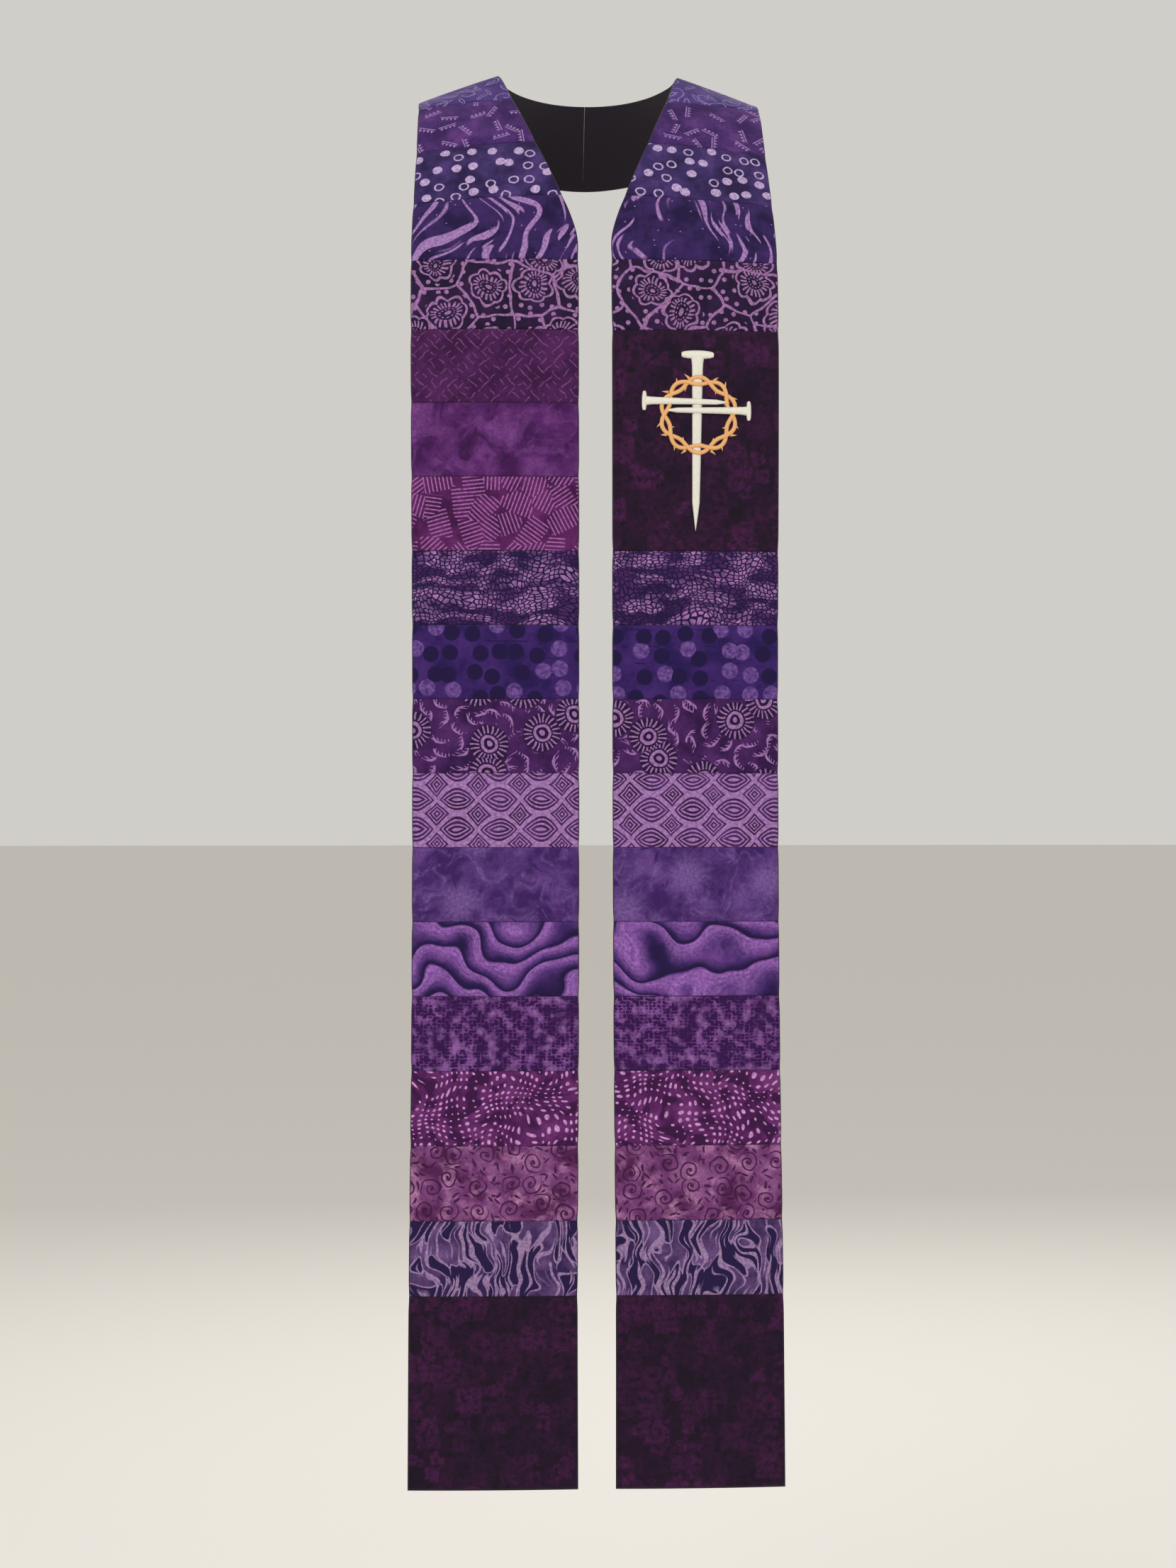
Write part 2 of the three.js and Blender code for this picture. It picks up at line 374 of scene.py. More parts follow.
def middles(paths):
    values = section_values(paths)
    return (values[:, 0:3] + values[:, 3:6]) / 2


def face_points(paths, across):
    """Points on the face towards the wearer. across is 0 at the neck edge and 1 at the shoulder edge."""
    values = section_values(paths)
    ways = values[:, 3:6] - values[:, 0:3]
    direction = unit(middles(paths + TANGENT_STEP) - middles(np.maximum(paths - TANGENT_STEP, 0)))
    outward = unit(np.cross(ways, direction))
    bow = values[:, 6] * 4 * across * (1 - across)
    return values[:, 0:3] + ways * across[:, None] + outward * bow[:, None]


def widths(paths):
    values = section_values(paths)
    return np.linalg.norm(values[:, 3:6] - values[:, 0:3], axis=1)


def seams_of(side):
    """Distances of the seams from the hem."""
    return [end for _, _, end in pieces_of(side)][:-1]


def pieces_of(side):
    """Each piece of a band with where it starts and ends."""
    start, found = 0.0, []
    for piece in BELOW_THE_CHEST + ON_THE_CHEST[side] + AT_THE_NECK:
        depth = piece.depth * PATCH_DEPTH
        if piece.name == "hem_block":
            depth = HEM_BLOCK_DEPTH
        if piece.name == "neck_swirl":
            depth = CENTRE_BACK_PATH - start
        found.append((piece, start, start + depth))
        start += depth
    return found


def ripple_heights(side, paths, across_mm):
    """How far the cloth stands out or in, in soft ridges and troughs that run on over the seams."""
    heights = np.zeros(len(paths))
    for r in RIPPLES:
        if r.side != side:
            continue
        lean = radians(r.turn)
        x, y = across_mm - r.across, paths - r.path
        lengthwise = (x * np.cos(lean) + y * np.sin(lean)) / r.reach
        crosswise = (y * np.cos(lean) - x * np.sin(lean)) / r.breadth
        heights += r.rise * np.exp(-(lengthwise**2) - crosswise**2)
    return heights


def cloth_points(side, paths, across, heights):
    """Points in metres at heights above the inner face, with the ripples and the pull of the seams."""
    width = widths(paths)
    pulls = [np.exp(-(((paths - seam) / SEAM_PULL_REACH) ** 2)) for seam in seams_of(side)]
    pull = SEAM_PULL * sum(pulls)
    drawn_in = 0.5 + (across - 0.5) * (1 - 2 * pull / width)
    up = face_points(paths + TANGENT_STEP, drawn_in) - face_points(
        np.maximum(paths - TANGENT_STEP, 0),
        drawn_in,
    )
    ways = face_points(paths, drawn_in + ACROSS_STEP) - face_points(paths, drawn_in - ACROSS_STEP)
    lifted = heights + ripple_heights(side, paths, drawn_in * width)
    points = face_points(paths, drawn_in) + unit(np.cross(ways, up)) * lifted[:, None]
    if side == "right":
        points[:, 0] *= -1
    return points * MM


def stations(length, cell):
    """Distances from one sewn edge to the other, close together where the cloth rolls down."""
    edge = np.array([0.0, 0.12, 0.35, 0.7, 1.2, 1.9, 3.0])
    count = max(1, round((length - 6.0) / cell))
    inner = np.linspace(3.0, length - 3.0, count + 1)[1:-1]
    return np.concatenate([edge, inner, (length - edge)[::-1]])


def rolled(distance, roll, depth):
    """How far a turned edge has rolled down at a distance from it."""
    near = np.clip(1 - distance / roll, 0, 1)
    return depth * (1 - np.sqrt(1 - near**2))


def grid_mesh(columns, rows):
    """A flat grid as a bmesh, with the column and the row of each of its points."""
    bm = bmesh.new()
    bmesh.ops.create_grid(bm, x_segments=columns - 1, y_segments=rows - 1, size=1)
    flat = np.array([v.co for v in bm.verts])
    if len(flat) != columns * rows:
        raise RuntimeError("the grid has another number of points than asked for")
    i = np.rint((flat[:, 0] + 1) / 2 * (columns - 1)).astype(int)
    j = np.rint((flat[:, 1] + 1) / 2 * (rows - 1)).astype(int)
    return bm, i, j


def finish_mesh(bm, name, points, cut, material, wall, mirrored=False):
    """Sets the points and the flat cut of a sheet, gives it its wall and its material, and links it."""
    layer = bm.loops.layers.uv.new("cut")
    for vert, point in zip(bm.verts, points):
        vert.co = point
    bm.verts.index_update()
    for face in bm.faces:
        face.smooth = True
        for loop in face.loops:
            loop[layer].uv = cut[loop.vert.index]
    if mirrored:
        bmesh.ops.reverse_faces(bm, faces=bm.faces)
    mesh = bpy.data.meshes.new(name)
    bm.to_mesh(mesh)
    bm.free()
    piece = bpy.data.objects.new(name, mesh)
    bpy.context.scene.collection.objects.link(piece)
    piece.data.materials.append(material)
    solid = piece.modifiers.new("wall", "SOLIDIFY")
    solid.thickness = wall
    solid.offset = -1
    solid.use_even_offset = False
    return piece


def cut_places(side, paths, across, start, order):
    """Where each point lies on the flat cloth, in metres, measured from the shoulder edge."""
    way = 1 if side == "left" else -1
    from_edge = -way * (1 - across) * widths(paths)
    begin = CUT_FROM[side]
    return np.column_stack(
        [
            (from_edge + begin[0] + CUT_ONWARD[0] * order) * MM,
            (paths - start + begin[1] + CUT_ONWARD[1] * order) * MM,
        ]
    )


def sew_patch(sizes, side, piece, start, end, order):
    """One patch: cotton over the lining, rolled down into its seams and at its turned sides."""
    first = start + SEAM_CLEARANCE if start > 0 else sizes.hem_reveal / MM
    at_back = end >= CENTRE_BACK_PATH
    last = CENTRE_BACK_PATH + CENTRE_BACK_LAP if at_back else end - SEAM_CLEARANCE
    along_rows = stations(last - first, sizes.cell / MM)
    full = float(np.mean(widths(np.array([first, last])))) - 2 * sizes.side_reveal / MM
    over_columns = stations(full, sizes.cell / MM)
    bm, i, j = grid_mesh(len(over_columns), len(along_rows))
    paths = first + along_rows[j]
    width = widths(paths)
    share = over_columns[i] / full
    inset = sizes.side_reveal / MM / width
    across = inset + (1 - 2 * inset) * share
    to_seam = np.minimum(along_rows[j], (last - first) - along_rows[j])
    to_side = np.minimum(share, 1 - share) * width
    depth, roll = sizes.seam_depth / MM, sizes.seam_roll / MM
    puff = PUFF * (1 - np.exp(-to_seam / PUFF_FROM_SEAM)) * (1 - np.exp(-to_side / PUFF_FROM_SIDE))
    down = rolled(to_seam, roll, depth) + rolled(to_side, roll * 0.8, depth)
    heights = PATCH_FACE - PUFF_SINK + puff - down
    points = cloth_points(side, paths, across, heights)
    cut = cut_places(side, paths, across, start, order)
    name = f"{side}_{piece.name}_cotton"
    cotton = bpy.data.materials.get(cotton_name(piece.cotton)) or make_cotton(piece.cotton)
    patch = finish_mesh(bm, name, points, cut, cotton, sizes.wall, side == "right")
    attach(patch, "root")
    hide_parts(f"{side}_{piece.name}")
    return patch


# Nodes. One function adds a node, and the groups are the marks that several cottons share.

MATH = "ShaderNodeMath"
VECTOR_MATH = "ShaderNodeVectorMath"
NOISE = "ShaderNodeTexNoise"
VORONOI = "ShaderNodeTexVoronoi"
RANGE = "ShaderNodeMapRange"
MIX = "ShaderNodeMix"
GROUP = "ShaderNodeGroup"
SPLIT = "ShaderNodeSeparateXYZ"
MAPPING = "ShaderNodeMapping"
NUMBER = "NodeSocketFloat"
VECTOR = "NodeSocketVector"
COLOUR = "NodeSocketColor"


def add(tree, kind, settings=None, inputs=None):
    """Adds a node with its settings. An input takes a value, a socket, or a node for its first output."""
    node = tree.nodes.new(kind)
    for name, value in (settings or {}).items():
        setattr(node, name, value)
    for key, value in (inputs or {}).items():
        named = [s for s in node.inputs if s.name == key and s.enabled]
        socket = node.inputs[key] if isinstance(key, int) else named[0]
        if isinstance(value, bpy.types.Node):
            value = [s for s in value.outputs if s.enabled][0]
        if isinstance(value, bpy.types.NodeSocket):
            tree.links.new(value, socket)
        else:
            socket.default_value = value
    return node


def start_group(name, inputs):
    """An empty group with its inputs, and the sockets that they give inside it."""
    tree = bpy.data.node_groups.new(name, "ShaderNodeTree")
    for label, kind in inputs.items():
        tree.interface.new_socket(label, in_out="INPUT", socket_type=kind)
    return tree, add(tree, "NodeGroupInput").outputs


def end_group(tree, outputs):
    """The group's outputs, each with the kind of socket and what feeds it."""
    for label, (kind, _) in outputs.items():
        tree.interface.new_socket(label, in_out="OUTPUT", socket_type=kind)
    add(tree, "NodeGroupOutput", inputs={label: source for label, (_, source) in outputs.items()})


def group(name):
    """The setting that makes a group node draw that mark."""
    return {"node_tree": bpy.data.node_groups[name]}


def make_wander():
    """Lines drawn by hand: places moved about a little, over a distance of Size and as far as Reach."""
    tree, given = start_group("wander", {"Vector": VECTOR, "Size": NUMBER, "Reach": NUMBER})
    scale = add(tree, MATH, {"operation": "DIVIDE"}, {0: 1.0, 1: given["Size"]})
    noise = add(
        tree,
        NOISE,
        {"noise_dimensions": "2D"},
        {"Vector": given["Vector"], "Scale": scale, "Detail": 1.0},
    )
    centred = add(
        tree,
        VECTOR_MATH,
        {"operation": "SUBTRACT"},
        {0: noise.outputs["Color"], 1: (0.5, 0.5, 0.5)},
    )
    reach = add(tree, VECTOR_MATH, {"operation": "SCALE"}, {0: centred, "Scale": given["Reach"]})
    moved = add(
        tree,
        VECTOR_MATH,
        {"operation": "MULTIPLY_ADD"},
        {0: reach, 1: (2, 2, 0), 2: given["Vector"]},
    )
    end_group(tree, {"Vector": (VECTOR, moved)})


def make_scatter():
    """Motifs strewn over cloth: each has its own middle, its own turn and two chances of its own."""
    tree, given = start_group(
        "scatter",
        {"Vector": VECTOR, "Pitch": NUMBER, "Looseness": NUMBER, "Turn": NUMBER},
    )
    scale = add(tree, MATH, {"operation": "DIVIDE"}, {0: 1.0, 1: given["Pitch"]})
    cells = add(
        tree,
        VORONOI,
        {"voronoi_dimensions": "2D", "feature": "F1"},
        {"Vector": given["Vector"], "Scale": scale, "Randomness": given["Looseness"]},
    )
    local = add(
        tree,
        VECTOR_MATH,
        {"operation": "SUBTRACT"},
        {0: given["Vector"], 1: cells.outputs["Position"]},
    )
    chances = add(tree, "ShaderNodeSeparateColor", {}, {0: cells.outputs["Color"]})
    angle = add(tree, MATH, {"operation": "MULTIPLY"}, {0: chances.outputs[0], 1: given["Turn"]})
    turned = add(
        tree,
        "ShaderNodeVectorRotate",
        {"rotation_type": "Z_AXIS"},
        {"Vector": local, "Angle": angle},
    )
    split = add(tree, SPLIT, {}, {0: turned})
    radius = add(tree, VECTOR_MATH, {"operation": "LENGTH"}, {0: local})
    angle_of = add(tree, MATH, {"operation": "ARCTAN2"}, {0: split.outputs[1], 1: split.outputs[0]})
    share = add(tree, MATH, {"operation": "DIVIDE"}, {0: angle_of, 1: 2 * pi})
    end_group(
        tree,
        {
            "Local": (VECTOR, turned),
            "X": (NUMBER, split.outputs[0]),
            "Y": (NUMBER, split.outputs[1]),
            "Radius": (NUMBER, radius.outputs["Value"]),
            "Turned": (NUMBER, share),
            "Chance": (NUMBER, chances.outputs[1]),
            "Other Chance": (NUMBER, chances.outputs[2]),
        },
    )


def make_stroke():
    """A waxed stroke with a soft edge: 1 where Place is within half of Width from Centre."""
    tree, given = start_group("stroke", {"Place": NUMBER, "Centre": NUMBER, "Width": NUMBER, "Soft": NUMBER})
    off = add(tree, MATH, {"operation": "SUBTRACT"}, {0: given["Place"], 1: given["Centre"]})
    distance = add(tree, MATH, {"operation": "ABSOLUTE"}, {0: off})
    half = add(tree, MATH, {"operation": "MULTIPLY"}, {0: given["Width"], 1: 0.5})
    soft = add(tree, MATH, {"operation": "ADD"}, {0: given["Soft"], 1: 0.00022})
    inner = add(tree, MATH, {"operation": "SUBTRACT"}, {0: half, 1: soft})
    outer = add(tree, MATH, {"operation": "ADD"}, {0: half, 1: soft})
    mask = add(
        tree,
        RANGE,
        {"interpolation_type": "SMOOTHSTEP"},
        {"Value": distance, "From Min": inner, "From Max": outer, "To Min": 1.0, "To Max": 0.0},
    )
    end_group(tree, {"Mask": (NUMBER, mask)})


def make_rows():
    """Strokes side by side, Pitch apart and Width wide."""
    tree, given = start_group("rows", {"Place": NUMBER, "Pitch": NUMBER, "Width": NUMBER})
    turns = add(tree, MATH, {"operation": "DIVIDE"}, {0: given["Place"], 1: given["Pitch"]})
    share = add(tree, MATH, {"operation": "FRACT"}, {0: turns})
    centred = add(tree, MATH, {"operation": "SUBTRACT"}, {0: share, 1: 0.5})
    place = add(tree, MATH, {"operation": "MULTIPLY"}, {0: centred, 1: given["Pitch"]})
    mask = add(
        tree, GROUP, group("stroke"), {"Place": place, "Width": given["Width"]}
    )
    end_group(tree, {"Mask": (NUMBER, mask), "Place": (NUMBER, place)})


def make_spokes():
    """Strokes that run out from the middle, Count of them round the full turn."""
    tree, given = start_group(
        "spokes",
        {"Radius": NUMBER, "Turned": NUMBER, "Count": NUMBER, "Width": NUMBER},
    )
    turns = add(tree, MATH, {"operation": "MULTIPLY"}, {0: given["Turned"], 1: given["Count"]})
    share = add(tree, MATH, {"operation": "FRACT"}, {0: turns})
    centred = add(tree, MATH, {"operation": "SUBTRACT"}, {0: share, 1: 0.5})
    round_length = add(tree, MATH, {"operation": "MULTIPLY"}, {0: given["Radius"], 1: 2 * pi})
    one = add(tree, MATH, {"operation": "DIVIDE"}, {0: round_length, 1: given["Count"]})
    place = add(tree, MATH, {"operation": "MULTIPLY"}, {0: centred, 1: one})
    mask = add(
        tree, GROUP, group("stroke"), {"Place": place, "Width": given["Width"]}
    )
    end_group(tree, {"Mask": (NUMBER, mask), "Place": (NUMBER, place)})


def make_curl():
    """A scroll that winds out from its middle as far as Reach, its turns Pitch apart."""
    tree, given = start_group(
        "curl", {"Radius": NUMBER, "Turned": NUMBER, "Pitch": NUMBER, "Reach": NUMBER, "Width": NUMBER}
    )
    turns = add(tree, MATH, {"operation": "DIVIDE"}, {0: given["Radius"], 1: given["Pitch"]})
    wound = add(tree, MATH, {"operation": "SUBTRACT"}, {0: turns, 1: given["Turned"]})
    share = add(tree, MATH, {"operation": "FRACT"}, {0: wound})
    centred = add(tree, MATH, {"operation": "SUBTRACT"}, {0: share, 1: 0.5})
    place = add(tree, MATH, {"operation": "MULTIPLY"}, {0: centred, 1: given["Pitch"]})
    line = add(
        tree, GROUP, group("stroke"), {"Place": place, "Width": given["Width"]}
    )
    across = add(tree, MATH, {"operation": "MULTIPLY"}, {0: given["Reach"], 1: 2.0})
    within = add(
        tree, GROUP, group("stroke"), {"Place": given["Radius"], "Width": across}
    )
    mask = add(tree, MATH, {"operation": "MULTIPLY"}, {0: line, 1: within})
    end_group(tree, {"Mask": (NUMBER, mask)})


def make_leaf():
    """A leaf shape along X, Length long and Width wide, pointed at both ends."""
    tree, given = start_group("leaf", {"X": NUMBER, "Y": NUMBER, "Length": NUMBER, "Width": NUMBER})
    half = add(tree, MATH, {"operation": "MULTIPLY"}, {0: given["Length"], 1: 0.5})
    share = add(tree, MATH, {"operation": "DIVIDE"}, {0: given["X"], 1: half})
    squared = add(tree, MATH, {"operation": "MULTIPLY"}, {0: share, 1: share})
    slim = add(tree, MATH, {"operation": "SUBTRACT", "use_clamp": True}, {0: 1.0, 1: squared})
    width = add(tree, MATH, {"operation": "MULTIPLY"}, {0: given["Width"], 1: slim})
    body = add(tree, GROUP, group("stroke"), {"Place": given["Y"], "Width": width})
    within = add(
        tree, GROUP, group("stroke"), {"Place": given["X"], "Width": given["Length"]}
    )
    mask = add(tree, MATH, {"operation": "MULTIPLY"}, {0: body, 1: within})
    end_group(tree, {"Mask": (NUMBER, mask), "Width": (NUMBER, width)})


def make_dye():
    """Batik dye on woven cotton: a mottled ground, then the deep shade, then the motif that wax kept pale, then
    painted shading of the weave, lighter on the thread tops and darker between them.
    """
    sockets = {
        "Vector": VECTOR,
        "Deep": COLOUR,
        "Dark": COLOUR,
        "Mid": COLOUR,
        "Light": COLOUR,
        "Motif": COLOUR,
    }
    tree, given = start_group("dye", sockets | {"Shade": NUMBER, "Wax": NUMBER, "Cloudiness": NUMBER})
    # Dye runs in clouds of some 25 mm and in speckles of 2 mm.
    clouds = add(
        tree,
        NOISE,
        {"noise_dimensions": "2D"},
        {"Vector": given["Vector"], "Scale": 1 / 0.026, "Detail": 4.0, "Roughness": 0.62},
    )
    speckle = add(
        tree,
        NOISE,
        {"noise_dimensions": "2D"},
        {"Vector": given["Vector"], "Scale": 1 / 0.0024, "Detail": 2.0, "Roughness": 0.7},
    )
    dark_to_mid = add(
        tree,
        RANGE,
        {"interpolation_type": "SMOOTHSTEP"},
        {"Value": clouds, "From Min": 0.34, "From Max": 0.54},
    )
    mid_to_light = add(
        tree,
        RANGE,
        {"interpolation_type": "SMOOTHSTEP"},
        {"Value": clouds, "From Min": 0.5, "From Max": 0.72},
    )
    first = add(
        tree, MIX, {"data_type": "RGBA"}, {"Factor": dark_to_mid, "A": given["Dark"], "B": given["Mid"]}
    )
    cloudy = add(tree, MATH, {"operation": "MULTIPLY"}, {0: mid_to_light, 1: given["Cloudiness"]})
    ground = add(tree, MIX, {"data_type": "RGBA"}, {"Factor": cloudy, "A": first, "B": given["Light"]})
    shaded = add(
        tree, MIX, {"data_type": "RGBA"}, {"Factor": given["Shade"], "A": ground, "B": given["Deep"]}
    )
    # Some dye gets under the wax, so the motif is never even.
    leak = add(tree, RANGE, {}, {"Value": speckle, "From Min": 0.3, "From Max": 0.62, "To Min": 0.62})
    kept = add(tree, MATH, {"operation": "MULTIPLY"}, {0: given["Wax"], 1: leak})
    drawn = add(tree, MIX, {"data_type": "RGBA"}, {"Factor": kept, "A": shaded, "B": given["Motif"]})
    tone = add(
        tree,
        RANGE,
        {},
        {"Value": speckle, "From Min": 0.25, "From Max": 0.75, "To Min": 0.84, "To Max": 1.16},
    )
    split = add(tree, SPLIT, {}, {0: given["Vector"]})
    warp = add(tree, MATH, {"operation": "MULTIPLY"}, {0: split.outputs[0], 1: 2 * pi / THREAD_PITCH})
    weft = add(tree, MATH, {"operation": "MULTIPLY"}, {0: split.outputs[1], 1: 2 * pi / THREAD_PITCH})
    over = add(tree, MATH, {"operation": "SINE"}, {0: warp})
    under = add(tree, MATH, {"operation": "SINE"}, {0: weft})
    weave = add(tree, MATH, {"operation": "MULTIPLY"}, {0: over, 1: under})
    # The colour is also painted up to 7% lighter where the threads rise and 7% darker where they sink, as
    # painted shading of the weave; the speckle tone under it is the dye's own.
    speckle_and_weave_shade = add(tree, MATH, {"operation": "MULTIPLY_ADD"}, {0: weave, 1: 0.07, 2: tone})
    toned = add(
        tree,
        VECTOR_MATH,
        {"operation": "SCALE"},
        {0: drawn, "Scale": speckle_and_weave_shade},
    )
    relief = add(tree, MATH, {"operation": "MULTIPLY_ADD"}, {0: weave, 1: 0.5, 2: speckle})
    end_group(tree, {"Color": (COLOUR, toned), "Relief": (NUMBER, relief)})


def make_marks():
    """All the groups, in the order in which they use each other."""
    for make in (
        make_wander,
        make_scatter,
        make_stroke,
        make_rows,
        make_spokes,
        make_curl,
        make_leaf,
        make_dye,
    ):
        make()


# The prints. Each takes the place on the cloth and gives what wax kept pale, and what was dyed deepest.


def print_swirl(tree, cloth):
    """Loose hooks and drops in a thin pale line."""
    hand = add(tree, GROUP, group("wander"), {"Vector": cloth, "Size": 0.014, "Reach": 0.003})
    spread = add(
        tree,
        GROUP,
        group("scatter"),
        {"Vector": hand, "Pitch": 0.021, "Looseness": 0.7, "Turn": 2 * pi},
    )
    hook = add(
        tree,
        GROUP,
        group("curl"),
        {
            "Radius": spread.outputs["Radius"],
            "Turned": spread.outputs["Turned"],
            "Pitch": 0.0075,
            "Reach": 0.0095,
            "Width": 0.001,
        },
    )
    drops = add(
        tree,
        GROUP,
        group("scatter"),
        {"Vector": hand, "Pitch": 0.015, "Looseness": 0.9, "Turn": 2 * pi},
    )
    leaf = add(
        tree,
        GROUP,
        group("leaf"),
        {"X": drops.outputs["X"], "Y": drops.outputs["Y"], "Length": 0.013, "Width": 0.0042},
    )
    heart = add(
        tree,
        GROUP,
        group("leaf"),
        {"X": drops.outputs["X"], "Y": drops.outputs["Y"], "Length": 0.0105, "Width": 0.0022},
    )
    rim = add(tree, MATH, {"operation": "SUBTRACT", "use_clamp": True}, {0: leaf, 1: heart})
    lines = add(tree, MATH, {"operation": "MAXIMUM"}, {0: hook, 1: rim})
    wax = add(tree, MATH, {"operation": "MULTIPLY"}, {0: lines, 1: 0.72})
    return wax, None


def print_triangle(tree, cloth):
    """Short straight lines, each with a row of small triangles beside it, laid at all angles."""
    spread = add(
        tree, GROUP, group("scatter"), {"Vector": cloth, "Pitch": 0.0185, "Looseness": 0.65, "Turn": 2 * pi}
    )
    x, y = spread.outputs["X"], spread.outputs["Y"]
    reach = add(tree, GROUP, group("stroke"), {"Place": x, "Width": 0.0145})
    line = add(tree, GROUP, group("stroke"), {"Place": y, "Centre": -0.0017, "Width": 0.0009})
    row = add(tree, GROUP, group("rows"), {"Place": x, "Pitch": 0.0034, "Width": 0.003})
    beside = add(tree, MATH, {"operation": "ABSOLUTE"}, {0: row.outputs["Place"]})
    slant = add(tree, MATH, {"operation": "MULTIPLY_ADD"}, {0: y, 1: 0.5, 2: beside})
    point = add(tree, GROUP, group("stroke"), {"Place": slant, "Width": 0.0026})
    above = add(tree, GROUP, group("stroke"), {"Place": y, "Centre": 0.0012, "Width": 0.003})
    triangles = add(tree, MATH, {"operation": "MULTIPLY"}, {0: point, 1: above})
    marks = add(tree, MATH, {"operation": "MAXIMUM"}, {0: line, 1: triangles})
    wax = add(tree, MATH, {"operation": "MULTIPLY"}, {0: marks, 1: reach})
    return wax, None


def print_ring(tree, cloth):
    """Rings and filled dots, strewn loosely."""
    hand = add(tree, GROUP, group("wander"), {"Vector": cloth, "Size": 0.006, "Reach": 0.0006})
    spread = add(
        tree,
        GROUP,
        group("scatter"),
        {"Vector": hand, "Pitch": 0.0145, "Looseness": 0.72, "Turn": 1.0},
    )
    radius = spread.outputs["Radius"]
    ring = add(tree, GROUP, group("stroke"), {"Place": radius, "Centre": 0.0034, "Width": 0.0013})
    dot = add(tree, GROUP, group("stroke"), {"Place": radius, "Width": 0.0078})
    filled = add(tree, MATH, {"operation": "GREATER_THAN"}, {0: spread.outputs["Chance"], 1: 0.48})
    wax = add(tree, MIX, {}, {"Factor": filled, "A": ring, "B": dot})
    return wax, None


def print_streak(tree, cloth):
    """Tapered brush strokes that follow a swirling flow, with a few specks."""
    flow = add(tree, GROUP, group("wander"), {"Vector": cloth, "Size": 0.075, "Reach": 0.05})
    stretched = add(
        tree,
        MAPPING,
        {"vector_type": "POINT"},
        {"Vector": flow, "Rotation": (0, 0, radians(52)), "Scale": (1 / 0.006, 1 / 0.045, 1)},
    )
    brush = add(tree, NOISE, {"noise_dimensions": "2D"}, {"Vector": stretched, "Scale": 1.0, "Detail": 0.6})
    strokes = add(
        tree,
        RANGE,
        {"interpolation_type": "SMOOTHSTEP"},
        {"Value": brush, "From Min": 0.575, "From Max": 0.635},
    )
    specks = add(
        tree,
        GROUP,
        group("scatter"),
        {"Vector": cloth, "Pitch": 0.017, "Looseness": 1.0, "Turn": 1.0},
    )
    speck = add(tree, GROUP, group("stroke"), {"Place": specks.outputs["Radius"], "Width": 0.0011})
    both = add(tree, MATH, {"operation": "MAXIMUM"}, {0: strokes, 1: speck})
    return both, None


def print_fan(tree, cloth):
    """Scalloped shells with bars and dots inside, and a wandering vine with loose dots between them."""
    hand = add(tree, GROUP, group("wander"), {"Vector": cloth, "Size": 0.022, "Reach": 0.005})
    spread = add(
        tree, GROUP, group("scatter"), {"Vector": hand, "Pitch": 0.037, "Looseness": 0.75, "Turn": 2 * pi}
    )
    radius, turned = spread.outputs["Radius"], spread.outputs["Turned"]
    lobes = add(tree, MATH, {"operation": "MULTIPLY"}, {0: turned, 1: 7 * pi})
    lobe = add(tree, MATH, {"operation": "SINE"}, {0: lobes})
    bulge = add(tree, MATH, {"operation": "ABSOLUTE"}, {0: lobe})
    rim = add(tree, MATH, {"operation": "MULTIPLY_ADD"}, {0: bulge, 1: 0.0026, 2: 0.0122})
    shell = add(tree, GROUP, group("stroke"), {"Place": radius, "Centre": rim, "Width": 0.002})
    bars = add(
        tree,
        GROUP,
        group("spokes"),
        {"Radius": radius, "Turned": turned, "Count": 19.0, "Width": 0.0014},
    )
    bar_reach = add(tree, GROUP, group("stroke"), {"Place": radius, "Centre": 0.0084, "Width": 0.0048})
    barred = add(tree, MATH, {"operation": "MULTIPLY"}, {0: bars, 1: bar_reach})
    centre = add(tree, GROUP, group("stroke"), {"Place": radius, "Width": 0.0036})
    beads = add(
        tree,
        GROUP,
        group("spokes"),
        {"Radius": radius, "Turned": turned, "Count": 11.0, "Width": 0.001},
    )
    bead_reach = add(tree, GROUP, group("stroke"), {"Place": radius, "Centre": 0.0042, "Width": 0.001})
    beaded = add(tree, MATH, {"operation": "MULTIPLY"}, {0: beads, 1: bead_reach})
    # The vine runs half way between the shells.
    edges = add(
        tree,
        VORONOI,
        {"voronoi_dimensions": "2D", "feature": "DISTANCE_TO_EDGE"},
        {"Vector": hand, "Scale": 1 / 0.037, "Randomness": 0.75},
    )
    vine = add(tree, GROUP, group("stroke"), {"Place": edges, "Width": 0.055, "Soft": 0.006})
    outside = add(tree, MATH, {"operation": "GREATER_THAN"}, {0: radius, 1: 0.0172})
    loose = add(
        tree,
        GROUP,
        group("scatter"),
        {"Vector": cloth, "Pitch": 0.009, "Looseness": 0.6, "Turn": 1.0},
    )
    dot = add(tree, GROUP, group("stroke"), {"Place": loose.outputs["Radius"], "Width": 0.0036})
    dots = add(tree, MATH, {"operation": "MULTIPLY"}, {0: dot, 1: outside})
    marks = shell
    for mark in (barred, centre, beaded, vine, dots):
        marks = add(tree, MATH, {"operation": "MAXIMUM"}, {0: marks, 1: mark})
    return marks, None


